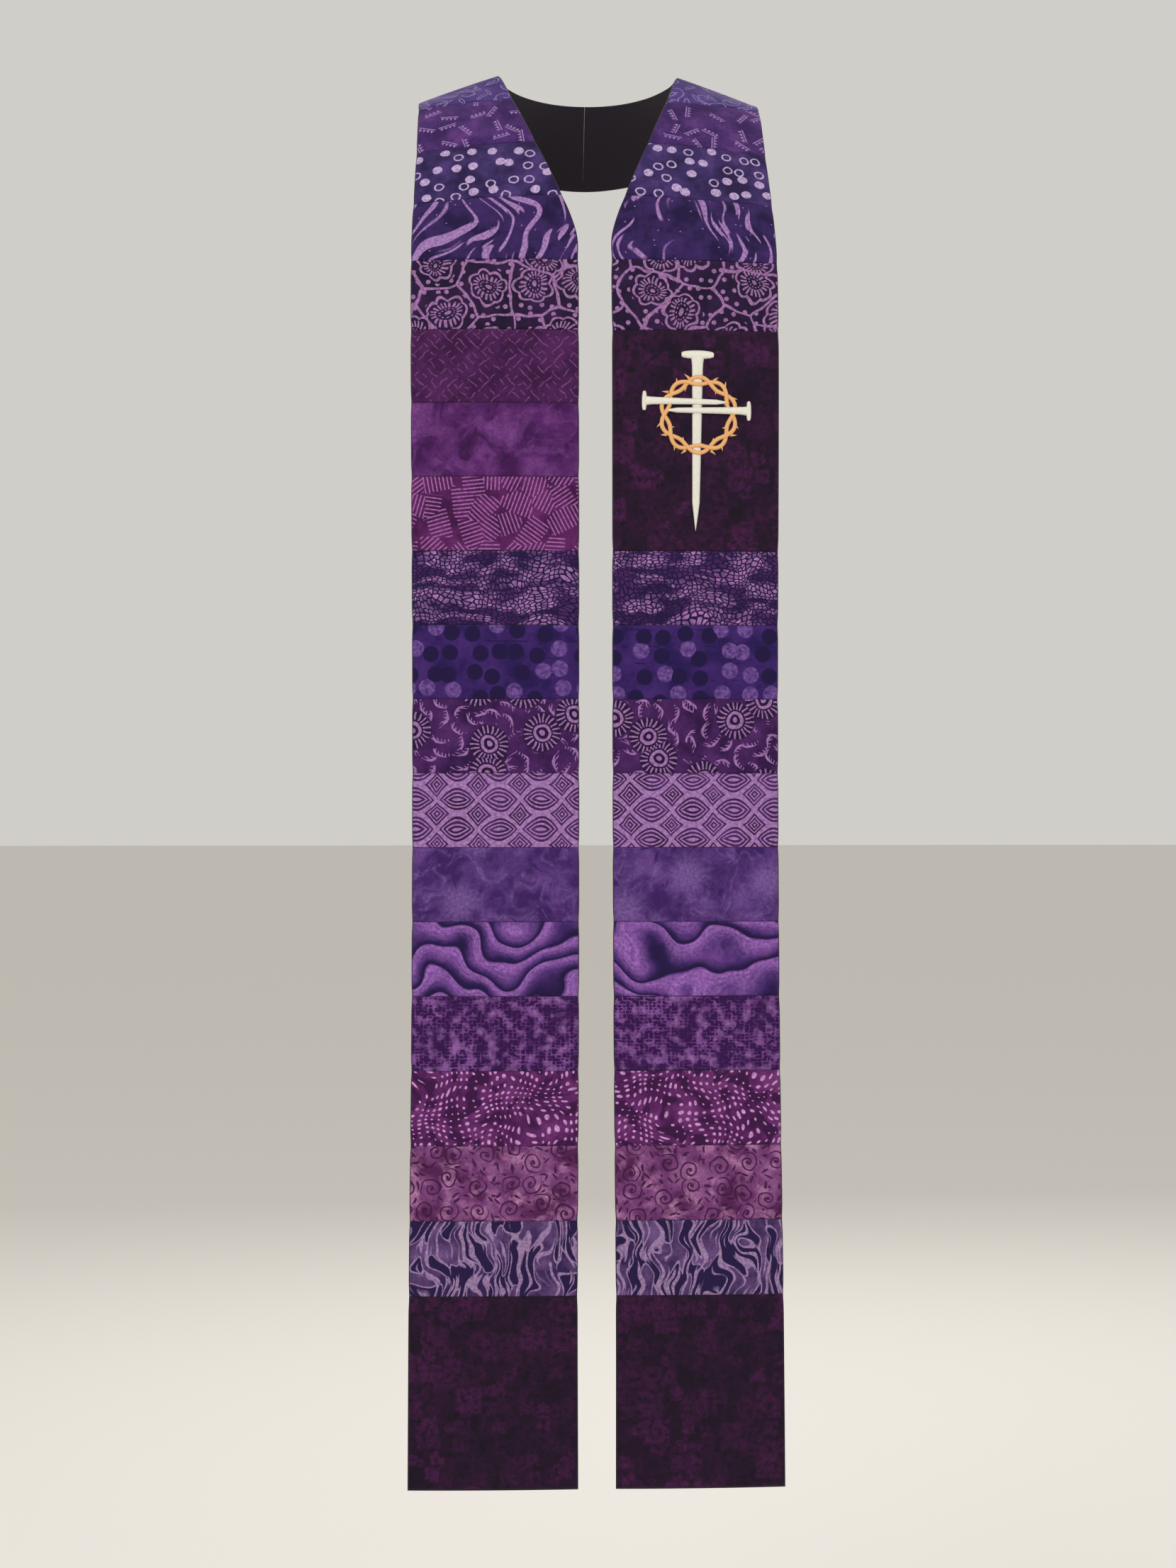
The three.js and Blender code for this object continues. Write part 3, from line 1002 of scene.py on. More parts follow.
def print_crackle(tree, cloth):
    """Fine cracks in the wax, mostly along both slants of the weave."""
    bent = add(tree, GROUP, group("wander"), {"Vector": cloth, "Size": 0.009, "Reach": 0.0018})
    slanted = add(tree, MAPPING, {}, {"Vector": bent, "Rotation": (0, 0, radians(45))})
    split = add(tree, SPLIT, {}, {0: slanted})
    patchy = add(
        tree, NOISE, {"noise_dimensions": "2D"}, {"Vector": cloth, "Scale": 1 / 0.008, "Detail": 1.0}
    )
    here = add(tree, RANGE, {}, {"Value": patchy, "From Min": 0.5, "From Max": 0.58})
    there = add(tree, RANGE, {}, {"Value": patchy, "From Min": 0.5, "From Max": 0.42})
    rising = add(tree, GROUP, group("rows"), {"Place": split.outputs[0], "Pitch": 0.0062, "Width": 0.0009})
    falling = add(tree, GROUP, group("rows"), {"Place": split.outputs[1], "Pitch": 0.0055, "Width": 0.0009})
    up = add(tree, MATH, {"operation": "MULTIPLY"}, {0: rising, 1: here})
    down = add(tree, MATH, {"operation": "MULTIPLY"}, {0: falling, 1: there})
    wax = add(tree, MATH, {"operation": "MAXIMUM"}, {0: up, 1: down})
    return wax, None


def print_mottle(tree, cloth):
    """Soft clouds only, with darker blotches."""
    pale = add(
        tree, NOISE, {"noise_dimensions": "2D"}, {
            "Vector": cloth,
            "Scale": 1 / 0.022,
            "Detail": 5.0,
            "Distortion": 0.8,
        }
    )
    wax = add(tree, RANGE, {}, {"Value": pale, "From Min": 0.52, "From Max": 0.78})
    shade = add(tree, RANGE, {}, {"Value": pale, "From Min": 0.42, "From Max": 0.28})
    return wax, shade


def print_basket(tree, cloth):
    """Bundles of straight lines in blocks that lie at all angles, like basket work."""
    spread = add(
        tree, GROUP, group("scatter"), {"Vector": cloth, "Pitch": 0.019, "Looseness": 0.8, "Turn": 2 * pi}
    )
    lines = add(tree, GROUP, group("rows"), {"Place": spread.outputs["Y"], "Pitch": 0.003, "Width": 0.001})
    reach = add(tree, GROUP, group("stroke"), {"Place": spread.outputs["X"], "Width": 0.017})
    wax = add(tree, MATH, {"operation": "MULTIPLY"}, {0: lines, 1: reach})
    return wax, None


def print_block(tree, cloth):
    """Soft-edged squares one over another, barely lighter than the ground, with a few pale flecks."""
    frayed = add(tree, GROUP, group("wander"), {"Vector": cloth, "Size": 0.003, "Reach": 0.0012})
    marks = None
    for pitch in (0.024, 0.013):
        cells = add(
            tree,
            VORONOI,
            {"voronoi_dimensions": "2D", "feature": "F1", "distance": "CHEBYCHEV"},
            {"Vector": frayed, "Scale": 1 / pitch, "Randomness": 0.9},
        )
        chance = add(tree, "ShaderNodeSeparateColor", {}, {0: cells.outputs["Color"]})
        square = add(
            tree,
            RANGE,
            {"interpolation_type": "SMOOTHSTEP"},
            {"Value": cells.outputs["Distance"], "From Min": 0.5, "From Max": 0.34},
        )
        strength = add(tree, MATH, {"operation": "POWER"}, {0: chance.outputs[1], 1: 2.2})
        layer = add(tree, MATH, {"operation": "MULTIPLY"}, {0: square, 1: strength})
        marks = layer if marks is None else add(tree, MATH, {"operation": "MAXIMUM"}, {0: marks, 1: layer})
    brushed = add(
        tree, NOISE, {"noise_dimensions": "2D"}, {
            "Vector": cloth,
            "Scale": 1 / 0.005,
            "Detail": 4.0,
            "Roughness": 0.7,
        }
    )
    broken = add(tree, RANGE, {}, {"Value": brushed, "From Min": 0.3, "From Max": 0.7})
    wax = add(tree, MATH, {"operation": "MULTIPLY"}, {0: marks, 1: broken})
    shade = add(tree, RANGE, {}, {"Value": brushed, "From Min": 0.5, "From Max": 0.3})
    return wax, shade


def print_cobble(tree, cloth):
    """Wavy bands of small pale cobbles, with dark bands between them."""
    waves = add(tree, GROUP, group("wander"), {"Vector": cloth, "Size": 0.035, "Reach": 0.009})
    flat = add(tree, MAPPING, {}, {"Vector": waves, "Scale": (0.72, 1, 1)})
    stones = add(
        tree,
        VORONOI,
        {"voronoi_dimensions": "2D", "feature": "DISTANCE_TO_EDGE"},
        {"Vector": flat, "Scale": 1 / 0.0029, "Randomness": 0.75},
    )
    colours = add(
        tree,
        VORONOI,
        {"voronoi_dimensions": "2D", "feature": "F1"},
        {"Vector": flat, "Scale": 1 / 0.0029, "Randomness": 0.75},
    )
    stone = add(
        tree, RANGE, {"interpolation_type": "SMOOTHSTEP"}, {"Value": stones, "From Min": 0.1, "From Max": 0.2}
    )
    chance = add(tree, "ShaderNodeSeparateColor", {}, {0: colours.outputs["Color"]})
    bands = add(
        tree,
        NOISE,
        {"noise_dimensions": "2D"},
        {
            "Vector": add(tree, MAPPING, {}, {"Vector": waves, "Scale": (0.35, 1, 1)}),
            "Scale": 1 / 0.011,
            "Detail": 2.0,
        },
    )
    band = add(
        tree, RANGE, {"interpolation_type": "SMOOTHSTEP"}, {"Value": bands, "From Min": 0.42, "From Max": 0.6}
    )
    tone = add(tree, MATH, {"operation": "MULTIPLY_ADD"}, {0: chance.outputs[0], 1: 0.6, 2: 0.4})
    lit = add(tree, MATH, {"operation": "MULTIPLY"}, {0: stone, 1: tone})
    wax = add(tree, MATH, {"operation": "MULTIPLY"}, {0: lit, 1: band})
    dark = add(tree, MATH, {"operation": "SUBTRACT"}, {0: 1.0, 1: stone})
    return wax, dark


def print_spot(tree, cloth):
    """Large spots, some paler and some darker than the ground, with thin broken lines across."""
    spread = add(
        tree,
        GROUP,
        group("scatter"),
        {"Vector": cloth, "Pitch": 0.0165, "Looseness": 0.55, "Turn": 1.0},
    )
    spot = add(
        tree, GROUP, group("stroke"), {"Place": spread.outputs["Radius"], "Width": 0.0125, "Soft": 0.0003}
    )
    grain = add(
        tree, NOISE, {"noise_dimensions": "2D"}, {
            "Vector": cloth,
            "Scale": 1 / 0.004,
            "Detail": 3.0,
            "Roughness": 0.7,
        }
    )
    worn = add(tree, RANGE, {}, {"Value": grain, "From Min": 0.35, "From Max": 0.6, "To Min": 0.25})
    pale_one = add(tree, MATH, {"operation": "GREATER_THAN"}, {0: spread.outputs["Chance"], 1: 0.55})
    pale = add(tree, MATH, {"operation": "MULTIPLY"}, {0: spot, 1: pale_one})
    wax = add(tree, MATH, {"operation": "MULTIPLY"}, {0: pale, 1: worn})
    dark_one = add(tree, MATH, {"operation": "SUBTRACT"}, {0: spot, 1: pale})
    split = add(tree, SPLIT, {}, {0: cloth})
    dashes = add(tree, GROUP, group("rows"), {"Place": split.outputs[1], "Pitch": 0.013, "Width": 0.0009})
    broken = add(
        tree,
        NOISE,
        {"noise_dimensions": "2D"},
        {"Vector": add(tree, MAPPING, {}, {"Vector": cloth, "Scale": (60, 200, 1)}), "Scale": 1.0},
    )
    here = add(tree, RANGE, {}, {"Value": broken, "From Min": 0.55, "From Max": 0.6})
    dash = add(tree, MATH, {"operation": "MULTIPLY"}, {0: dashes, 1: here})
    shade = add(tree, MATH, {"operation": "MAXIMUM"}, {0: dark_one, 1: dash})
    return wax, shade


def print_sunburst(tree, cloth):
    """Sun wheels with short rays, on a ground of bent twigs."""
    hand = add(tree, GROUP, group("wander"), {"Vector": cloth, "Size": 0.01, "Reach": 0.0014})
    suns = add(
        tree,
        GROUP,
        group("scatter"),
        {"Vector": hand, "Pitch": 0.044, "Looseness": 0.7, "Turn": 2 * pi},
    )
    radius, turned = suns.outputs["Radius"], suns.outputs["Turned"]
    eye = add(tree, GROUP, group("stroke"), {"Place": radius, "Width": 0.004})
    wheel = add(tree, GROUP, group("stroke"), {"Place": radius, "Centre": 0.0056, "Width": 0.0024})
    rays = add(
        tree,
        GROUP,
        group("spokes"),
        {"Radius": radius, "Turned": turned, "Count": 21.0, "Width": 0.0012},
    )
    ray_reach = add(tree, GROUP, group("stroke"), {"Place": radius, "Centre": 0.0112, "Width": 0.0062})
    rayed = add(tree, MATH, {"operation": "MULTIPLY"}, {0: rays, 1: ray_reach})
    twigs = add(
        tree,
        GROUP,
        group("scatter"),
        {"Vector": hand, "Pitch": 0.0125, "Looseness": 0.9, "Turn": 2 * pi},
    )
    x, y = twigs.outputs["X"], twigs.outputs["Y"]
    squared = add(tree, MATH, {"operation": "MULTIPLY"}, {0: x, 1: x})
    bend = add(tree, MATH, {"operation": "MULTIPLY_ADD"}, {0: squared, 1: -60.0, 2: y})
    twig = add(tree, GROUP, group("leaf"), {"X": x, "Y": bend, "Length": 0.014, "Width": 0.0019})
    side_bend = add(tree, MATH, {"operation": "MULTIPLY_ADD"}, {0: y, 1: 0.8, 2: x})
    shoots = add(tree, GROUP, group("rows"), {"Place": side_bend, "Pitch": 0.0032, "Width": 0.0009})
    shoot_reach = add(tree, GROUP, group("stroke"), {"Place": bend, "Centre": 0.0014, "Width": 0.0028})
    shot = add(tree, MATH, {"operation": "MULTIPLY"}, {0: shoots, 1: shoot_reach})
    growth = add(tree, MATH, {"operation": "MAXIMUM"}, {0: twig, 1: shot})
    clear = add(tree, MATH, {"operation": "GREATER_THAN"}, {0: radius, 1: 0.0158})
    grown = add(tree, MATH, {"operation": "MULTIPLY"}, {0: growth, 1: clear})
    wax = eye
    for mark in (wheel, rayed, grown):
        wax = add(tree, MATH, {"operation": "MAXIMUM"}, {0: wax, 1: mark})
    halo = add(tree, GROUP, group("stroke"), {"Place": radius, "Width": 0.029, "Soft": 0.001})
    return wax, halo


def print_ogee(tree, cloth):
    """Ogee cells in rows that interlock, each with smaller outlines nested inside."""
    hand = add(tree, GROUP, group("wander"), {"Vector": cloth, "Size": 0.02, "Reach": 0.0016})
    split = add(tree, SPLIT, {}, {0: hand})
    swing = add(tree, MATH, {"operation": "MULTIPLY"}, {0: split.outputs[0], 1: 2 * pi / 0.064})
    sway = add(tree, MATH, {"operation": "COSINE"}, {0: swing})
    half = add(tree, MATH, {"operation": "MULTIPLY"}, {0: sway, 1: 0.5})
    rows = add(tree, MATH, {"operation": "DIVIDE"}, {0: split.outputs[1], 1: 0.023})
    nearest = None
    for operation in ("ADD", "SUBTRACT"):
        moved = add(tree, MATH, {"operation": operation}, {0: rows, 1: half})
        share = add(tree, MATH, {"operation": "PINGPONG"}, {0: moved, 1: 0.5})
        nearest = share if nearest is None else add(
            tree,
            MATH,
            {"operation": "MINIMUM"},
            {0: nearest, 1: share},
        )
    inwards = add(tree, MATH, {"operation": "MULTIPLY"}, {0: nearest, 1: 0.023})
    border = add(tree, GROUP, group("stroke"), {"Place": inwards, "Width": 0.0022})
    nested = add(tree, GROUP, group("rows"), {"Place": inwards, "Pitch": 0.0031, "Width": 0.0013})
    wax = add(tree, MATH, {"operation": "MAXIMUM"}, {0: border, 1: nested})
    return wax, None


def print_cloud(tree, cloth):
    """Cloudy dye with paler bursts and blots, and darker blots."""
    bursts = add(
        tree,
        GROUP,
        group("scatter"),
        {"Vector": cloth, "Pitch": 0.07, "Looseness": 0.9, "Turn": 2 * pi},
    )
    radius, turned = bursts.outputs["Radius"], bursts.outputs["Turned"]
    petals = add(
        tree,
        NOISE,
        {"noise_dimensions": "1D"},
        {"W": add(tree, MATH, {"operation": "MULTIPLY"}, {0: turned, 1: 16.0}), "Scale": 1.0, "Detail": 2.0},
    )
    reach = add(tree, RANGE, {}, {"Value": petals, "To Min": 0.008, "To Max": 0.034})
    share = add(tree, MATH, {"operation": "DIVIDE"}, {0: radius, 1: reach})
    burst = add(
        tree, RANGE, {"interpolation_type": "SMOOTHSTEP"}, {"Value": share, "From Min": 1.0, "From Max": 0.2}
    )
    blots = add(
        tree,
        NOISE,
        {"noise_dimensions": "2D"},
        {"Vector": cloth, "Scale": 1 / 0.017, "Detail": 5.0, "Roughness": 0.65, "Distortion": 1.2},
    )
    blot = add(tree, RANGE, {}, {"Value": blots, "From Min": 0.5, "From Max": 0.75})
    pale = add(tree, MATH, {"operation": "MAXIMUM"}, {0: burst, 1: blot})
    wax = add(tree, MATH, {"operation": "MULTIPLY"}, {0: pale, 1: 0.7})
    shade = add(tree, RANGE, {}, {"Value": blots, "From Min": 0.4, "From Max": 0.28})
    return wax, shade


def print_satin(tree, cloth):
    """Broad folds of light and dark, as of draped satin, each ended by a dark line."""
    flow = add(tree, GROUP, group("wander"), {"Vector": cloth, "Size": 0.06, "Reach": 0.05})
    split = add(tree, SPLIT, {}, {0: flow})
    turns = add(tree, MATH, {"operation": "DIVIDE"}, {0: split.outputs[1], 1: 0.021})
    share = add(tree, MATH, {"operation": "FRACT"}, {0: turns})
    bright = add(
        tree, RANGE, {"interpolation_type": "SMOOTHSTEP"}, {"Value": share, "From Min": 0.2, "From Max": 0.86}
    )
    fall = add(tree, RANGE, {}, {"Value": share, "From Min": 1.0, "From Max": 0.93})
    fine = add(
        tree,
        NOISE,
        {"noise_dimensions": "2D"},
        {
            "Vector": add(tree, MAPPING, {}, {"Vector": flow, "Scale": (70, 700, 1)}),
            "Scale": 1.0,
            "Detail": 3.0,
        },
    )
    streaky = add(tree, RANGE, {}, {"Value": fine, "From Min": 0.3, "From Max": 0.65, "To Min": 0.45})
    lit = add(tree, MATH, {"operation": "MULTIPLY"}, {0: bright, 1: fall})
    wax = add(tree, MATH, {"operation": "MULTIPLY"}, {0: lit, 1: streaky})
    shade = add(
        tree,
        RANGE,
        {"interpolation_type": "SMOOTHSTEP"},
        {"Value": share, "From Min": 0.3, "From Max": 0.05},
    )
    return wax, shade


def print_mesh(tree, cloth):
    """A coarse netting of short dark dashes on a paler ground."""
    uneven = add(tree, GROUP, group("wander"), {"Vector": cloth, "Size": 0.012, "Reach": 0.0012})
    flat = add(tree, MAPPING, {}, {"Vector": uneven, "Scale": (0.8, 1.1, 1)})
    cells = add(
        tree,
        VORONOI,
        {"voronoi_dimensions": "2D", "feature": "F1", "distance": "CHEBYCHEV"},
        {"Vector": flat, "Scale": 1 / 0.0027, "Randomness": 0.4},
    )
    patchy = add(
        tree, NOISE, {"noise_dimensions": "2D"}, {"Vector": cloth, "Scale": 1 / 0.009, "Detail": 3.0}
    )
    size = add(
        tree,
        RANGE,
        {},
        {"Value": patchy, "From Min": 0.35, "From Max": 0.62, "To Min": 0.5, "To Max": 0.24},
    )
    dash = add(tree, MATH, {"operation": "LESS_THAN"}, {0: cells.outputs["Distance"], 1: size})
    pale = add(tree, RANGE, {}, {"Value": patchy, "From Min": 0.5, "From Max": 0.8})
    return pale, dash


def print_dot(tree, cloth):
    """Pale dots in curving rows, of changing size, over dark waves."""
    rows = add(tree, GROUP, group("wander"), {"Vector": cloth, "Size": 0.04, "Reach": 0.014})
    cells = add(
        tree, GROUP, group("scatter"), {"Vector": rows, "Pitch": 0.0054, "Looseness": 0.16, "Turn": 1.0}
    )
    waves = add(tree, NOISE, {"noise_dimensions": "2D"}, {"Vector": rows, "Scale": 1 / 0.013, "Detail": 2.0})
    width = add(
        tree, RANGE, {}, {
            "Value": waves,
            "From Min": 0.35,
            "From Max": 0.65,
            "To Min": 0.0012,
            "To Max": 0.003,
        }
    )
    dot = add(tree, GROUP, group("stroke"), {"Place": cells.outputs["Radius"], "Width": width})
    shade = add(
        tree, RANGE, {"interpolation_type": "SMOOTHSTEP"}, {"Value": waves, "From Min": 0.5, "From Max": 0.38}
    )
    return dot, shade


def print_scroll(tree, cloth):
    """Dark scrolls that wind up, with small leaves between them."""
    hand = add(tree, GROUP, group("wander"), {"Vector": cloth, "Size": 0.012, "Reach": 0.0022})
    spread = add(
        tree, GROUP, group("scatter"), {"Vector": hand, "Pitch": 0.0205, "Looseness": 0.6, "Turn": 2 * pi}
    )
    radius = spread.outputs["Radius"]
    curl = add(
        tree,
        GROUP,
        group("curl"),
        {
            "Radius": radius,
            "Turned": spread.outputs["Turned"],
            "Pitch": 0.0046,
            "Reach": 0.0082,
            "Width": 0.0013,
        },
    )
    bud = add(tree, GROUP, group("stroke"), {"Place": radius, "Width": 0.003})
    sprigs = add(
        tree,
        GROUP,
        group("scatter"),
        {"Vector": hand, "Pitch": 0.0072, "Looseness": 0.9, "Turn": 2 * pi},
    )
    leaf = add(
        tree,
        GROUP,
        group("leaf"),
        {"X": sprigs.outputs["X"], "Y": sprigs.outputs["Y"], "Length": 0.0072, "Width": 0.0019},
    )
    outside = add(tree, MATH, {"operation": "GREATER_THAN"}, {0: radius, 1: 0.0088})
    leaves = add(tree, MATH, {"operation": "MULTIPLY"}, {0: leaf, 1: outside})
    drawn = add(tree, MATH, {"operation": "MAXIMUM"}, {0: curl, 1: bud})
    lines = add(tree, MATH, {"operation": "MAXIMUM"}, {0: drawn, 1: leaves})
    shade = add(tree, MATH, {"operation": "MULTIPLY"}, {0: lines, 1: 0.86})
    tint = add(tree, NOISE, {"noise_dimensions": "2D"}, {"Vector": cloth, "Scale": 1 / 0.014, "Detail": 4.0})
    pale = add(tree, RANGE, {}, {"Value": tint, "From Min": 0.5, "From Max": 0.78})
    open_ground = add(tree, MATH, {"operation": "SUBTRACT", "use_clamp": True}, {0: pale, 1: shade})
    return open_ground, shade


def print_plume(tree, cloth):
    """Dark plumes that rise and bend, edged and veined with pale lines."""
    flow = add(tree, GROUP, group("wander"), {"Vector": cloth, "Size": 0.034, "Reach": 0.019})
    tall = add(
        tree,
        NOISE,
        {"noise_dimensions": "2D"},
        {
            "Vector": add(tree, MAPPING, {}, {"Vector": flow, "Scale": (95, 38, 1)}),
            "Scale": 1.0,
            "Detail": 0.0,
        },
    )
    veins = add(
        tree,
        NOISE,
        {"noise_dimensions": "2D"},
        {
            "Vector": add(tree, MAPPING, {}, {"Vector": flow, "Scale": (330, 42, 1)}),
            "Scale": 1.0,
            "Detail": 0.5,
        },
    )
    plume = add(
        tree, RANGE, {"interpolation_type": "SMOOTHSTEP"}, {"Value": tall, "From Min": 0.47, "From Max": 0.53}
    )
    edge = add(tree, GROUP, group("stroke"), {"Place": tall, "Centre": 0.5, "Width": 0.05, "Soft": 0.01})
    vein = add(
        tree, RANGE, {"interpolation_type": "SMOOTHSTEP"}, {
            "Value": veins,
            "From Min": 0.56,
            "From Max": 0.63,
        }
    )
    drawn = add(tree, MATH, {"operation": "MAXIMUM"}, {0: edge, 1: vein})
    wax = add(tree, MATH, {"operation": "MULTIPLY"}, {0: drawn, 1: 0.85})
    return wax, plume


PRINTS = {
    "swirl": print_swirl,
    "triangle": print_triangle,
    "ring": print_ring,
    "streak": print_streak,
    "fan": print_fan,
    "crackle": print_crackle,
    "mottle": print_mottle,
    "basket": print_basket,
    "block": print_block,
    "cobble": print_cobble,
    "spot": print_spot,
    "sunburst": print_sunburst,
    "ogee": print_ogee,
    "cloud": print_cloud,
    "satin": print_satin,
    "mesh": print_mesh,
    "dot": print_dot,
    "scroll": print_scroll,
    "plume": print_plume,
}


def cotton_name(cotton):
    return f"batik cotton, {cotton} print"


def start_material(name):
    """A material with an empty tree."""
    material = bpy.data.materials.new(name)
    material.use_nodes = True
    material.node_tree.nodes.clear()
    return material, material.node_tree


def make_cotton(cotton):
    """Quilting cotton, plain woven and batik dyed: matt, with a faint bloom of fibres at glancing angles."""
    material, tree = start_material(cotton_name(cotton))
    cloth = add(tree, "ShaderNodeUVMap", {"uv_map": "cut"})
    wax, shade = PRINTS[cotton](tree, cloth)
    dyes = DYES[cotton]
    dye = add(
        tree,
        GROUP,
        group("dye"),
        {
            "Vector": cloth,
            "Deep": linear(dyes.deep),
            "Dark": linear(dyes.dark),
            "Mid": linear(dyes.mid),
            "Light": linear(dyes.light),
            "Motif": linear(dyes.motif),
            "Wax": wax,
            "Shade": shade if shade is not None else 0.0,
            "Cloudiness": 0.9,
        },
    )
    bump = add(
        tree,
        "ShaderNodeBump",
        {},
        {"Strength": 0.35, "Distance": 0.0002, "Height": dye.outputs["Relief"]},
    )
    surface = add(
        tree,
        "ShaderNodeBsdfPrincipled",
        {},
        {
            "Base Color": dye.outputs["Color"],
            "Roughness": 0.86,
            "Specular IOR Level": 0.22,
            "Sheen Weight": 0.06,
            "Sheen Roughness": 0.5,
            "Normal": bump,
        },
    )
    add(tree, "ShaderNodeOutputMaterial", {}, {"Surface": surface})
    return material


def make_lining_material(colours):
    """Lining sateen, dyed dark plum: closely woven, smoother than the cottons, with a low silky gleam."""
    material, tree = start_material("dark lining sateen")
    cloth = add(tree, "ShaderNodeUVMap", {"uv_map": "cut"})
    # Sateen's floats are about 0.3 mm apart and 1.5 mm long. They are drawn at 0.7 mm so that they show.
    floats = add(
        tree,
        NOISE,
        {"noise_dimensions": "2D"},
        {
            "Vector": add(tree, MAPPING, {}, {"Vector": cloth, "Scale": (1400, 300, 1)}),
            "Scale": 1.0,
            "Detail": 2.0,
        },
    )
    tone = add(
        tree,
        RANGE,
        {},
        {"Value": floats, "From Min": 0.3, "From Max": 0.7, "To Min": 0.8, "To Max": 1.35},
    )
    colour = add(
        tree,
        VECTOR_MATH,
        {"operation": "SCALE"},
        {0: tuple(colours.lining)[:3], "Scale": tone},
    )
    bump = add(tree, "ShaderNodeBump", {}, {"Strength": 0.3, "Distance": 0.0002, "Height": floats})
    surface = add(
        tree,
        "ShaderNodeBsdfPrincipled",
        {},
        {
            "Base Color": colour,
            "Roughness": 0.55,
            "Specular IOR Level": 0.35,
            "Sheen Weight": 0.05,
            "Normal": bump,
        },
    )
    add(tree, "ShaderNodeOutputMaterial", {}, {"Surface": surface})
    return material


def make_thread(name, colour):
    """Rayon embroidery thread, twisted from fine filaments: each stitch has a long soft shine."""
    material, tree = start_material(name)
    stitches = add(tree, "ShaderNodeUVMap", {"uv_map": "cut"})
    # Filaments lie across the column of stitches, some 0.15 mm apart.
    filaments = add(
        tree,
        NOISE,
        {"noise_dimensions": "2D"},
        {
            "Vector": add(tree, MAPPING, {}, {"Vector": stitches, "Scale": (400, 5200, 1)}),
            "Scale": 1.0,
            "Detail": 2.0,
        },
    )
    tone = add(
        tree, RANGE, {}, {
            "Value": filaments,
            "From Min": 0.25,
            "From Max": 0.75,
            "To Min": 0.78,
            "To Max": 1.12,
        }
    )
    shaded = add(tree, VECTOR_MATH, {"operation": "SCALE"}, {0: tuple(colour)[:3], "Scale": tone})
    bump = add(tree, "ShaderNodeBump", {}, {"Strength": 0.4, "Distance": 0.0002, "Height": filaments})
    surface = add(
        tree,
        "ShaderNodeBsdfPrincipled",
        {},
        {
            "Base Color": shaded,
            "Roughness": 0.42,
            "Specular IOR Level": 0.5,
            "Anisotropic": 0.4,
            "Sheen Weight": 0.1,
            "Normal": bump,
        },
    )
    add(tree, "ShaderNodeOutputMaterial", {}, {"Surface": surface})
    return material


# The embroidery.


def emblem_points(x, y, heights):
    """Points on the emblem block, from millimetres right and up from its middle and heights above it."""
    paths = EMBLEM_PATH + y
    across = 0.5 + x / widths(paths)
    return cloth_points("left", paths, across, PATCH_FACE + 0.02 + heights)


def satin_column(name, spine, half_width, lift, sizes, material):
    """A raised column of satin stitches that follows a spine, closed underneath.

    spine gives a place in millimetres, and half_width and lift a size, for each distance along the column.
    """
    stitch = sizes.stitch / MM
    length = spine.length
    rows = max(5, int(length / stitch * ROWS_PER_STITCH)) + 1
    columns = STITCH_COLUMNS
    bm, i, j = grid_mesh(columns, rows)
    s = j / (rows - 1) * length
    t = i / (columns - 1) * 2 - 1
    x, y, way_x, way_y = spine.at(s)
    half = half_width(s)
    # Every stitch is a thread with a groove on both sides, and its ends stand out a little.
    groove = np.abs(np.cos(pi * s / stitch)) ** 3
    half = half * (1 - 0.05 * groove)
    over = np.sqrt(np.clip(1 - t**2, 0, 1))
    heights = lift(s) + sizes.stitch_rise / MM * over * np.minimum(1, half / 1.4) * (1 - 0.16 * groove) - 0.15
    points = emblem_points(x + way_y * half * t, y - way_x * half * t, heights)
    cut = np.column_stack([t * half, s]) * MM
    return finish_mesh(bm, name, points, cut, material, 0.25 * MM)


class Spine:
    """The middle line of a column of stitches, from points in millimetres."""

    def __init__(self, points):
        self.points = np.array(points, float)
        steps = np.linalg.norm(np.diff(self.points, axis=0), axis=1)
        self.distances = np.concatenate([[0], np.cumsum(steps)])
        self.length = float(self.distances[-1])

    def at(self, s):
        """Place and direction at distances along the line."""
        near = 0.15
        place = [np.interp(s, self.distances, self.points[:, axis]) for axis in (0, 1)]
        ahead = [np.interp(s + near, self.distances, self.points[:, axis]) for axis in (0, 1)]
        behind = [np.interp(s - near, self.distances, self.points[:, axis]) for axis in (0, 1)]
        way = np.array(ahead) - np.array(behind)
        way = way / np.linalg.norm(way, axis=0)
        return place[0], place[1], way[0], way[1]


def join(pieces, name):
    """Several meshes joined as one piece."""
    bm = bmesh.new()
    for piece in pieces:
        bm.from_mesh(piece.data)
    kept = pieces[0]
    bm.to_mesh(kept.data)
    bm.free()
    for piece in pieces[1:]:
        bpy.data.objects.remove(piece)
    kept.name = name
    return kept


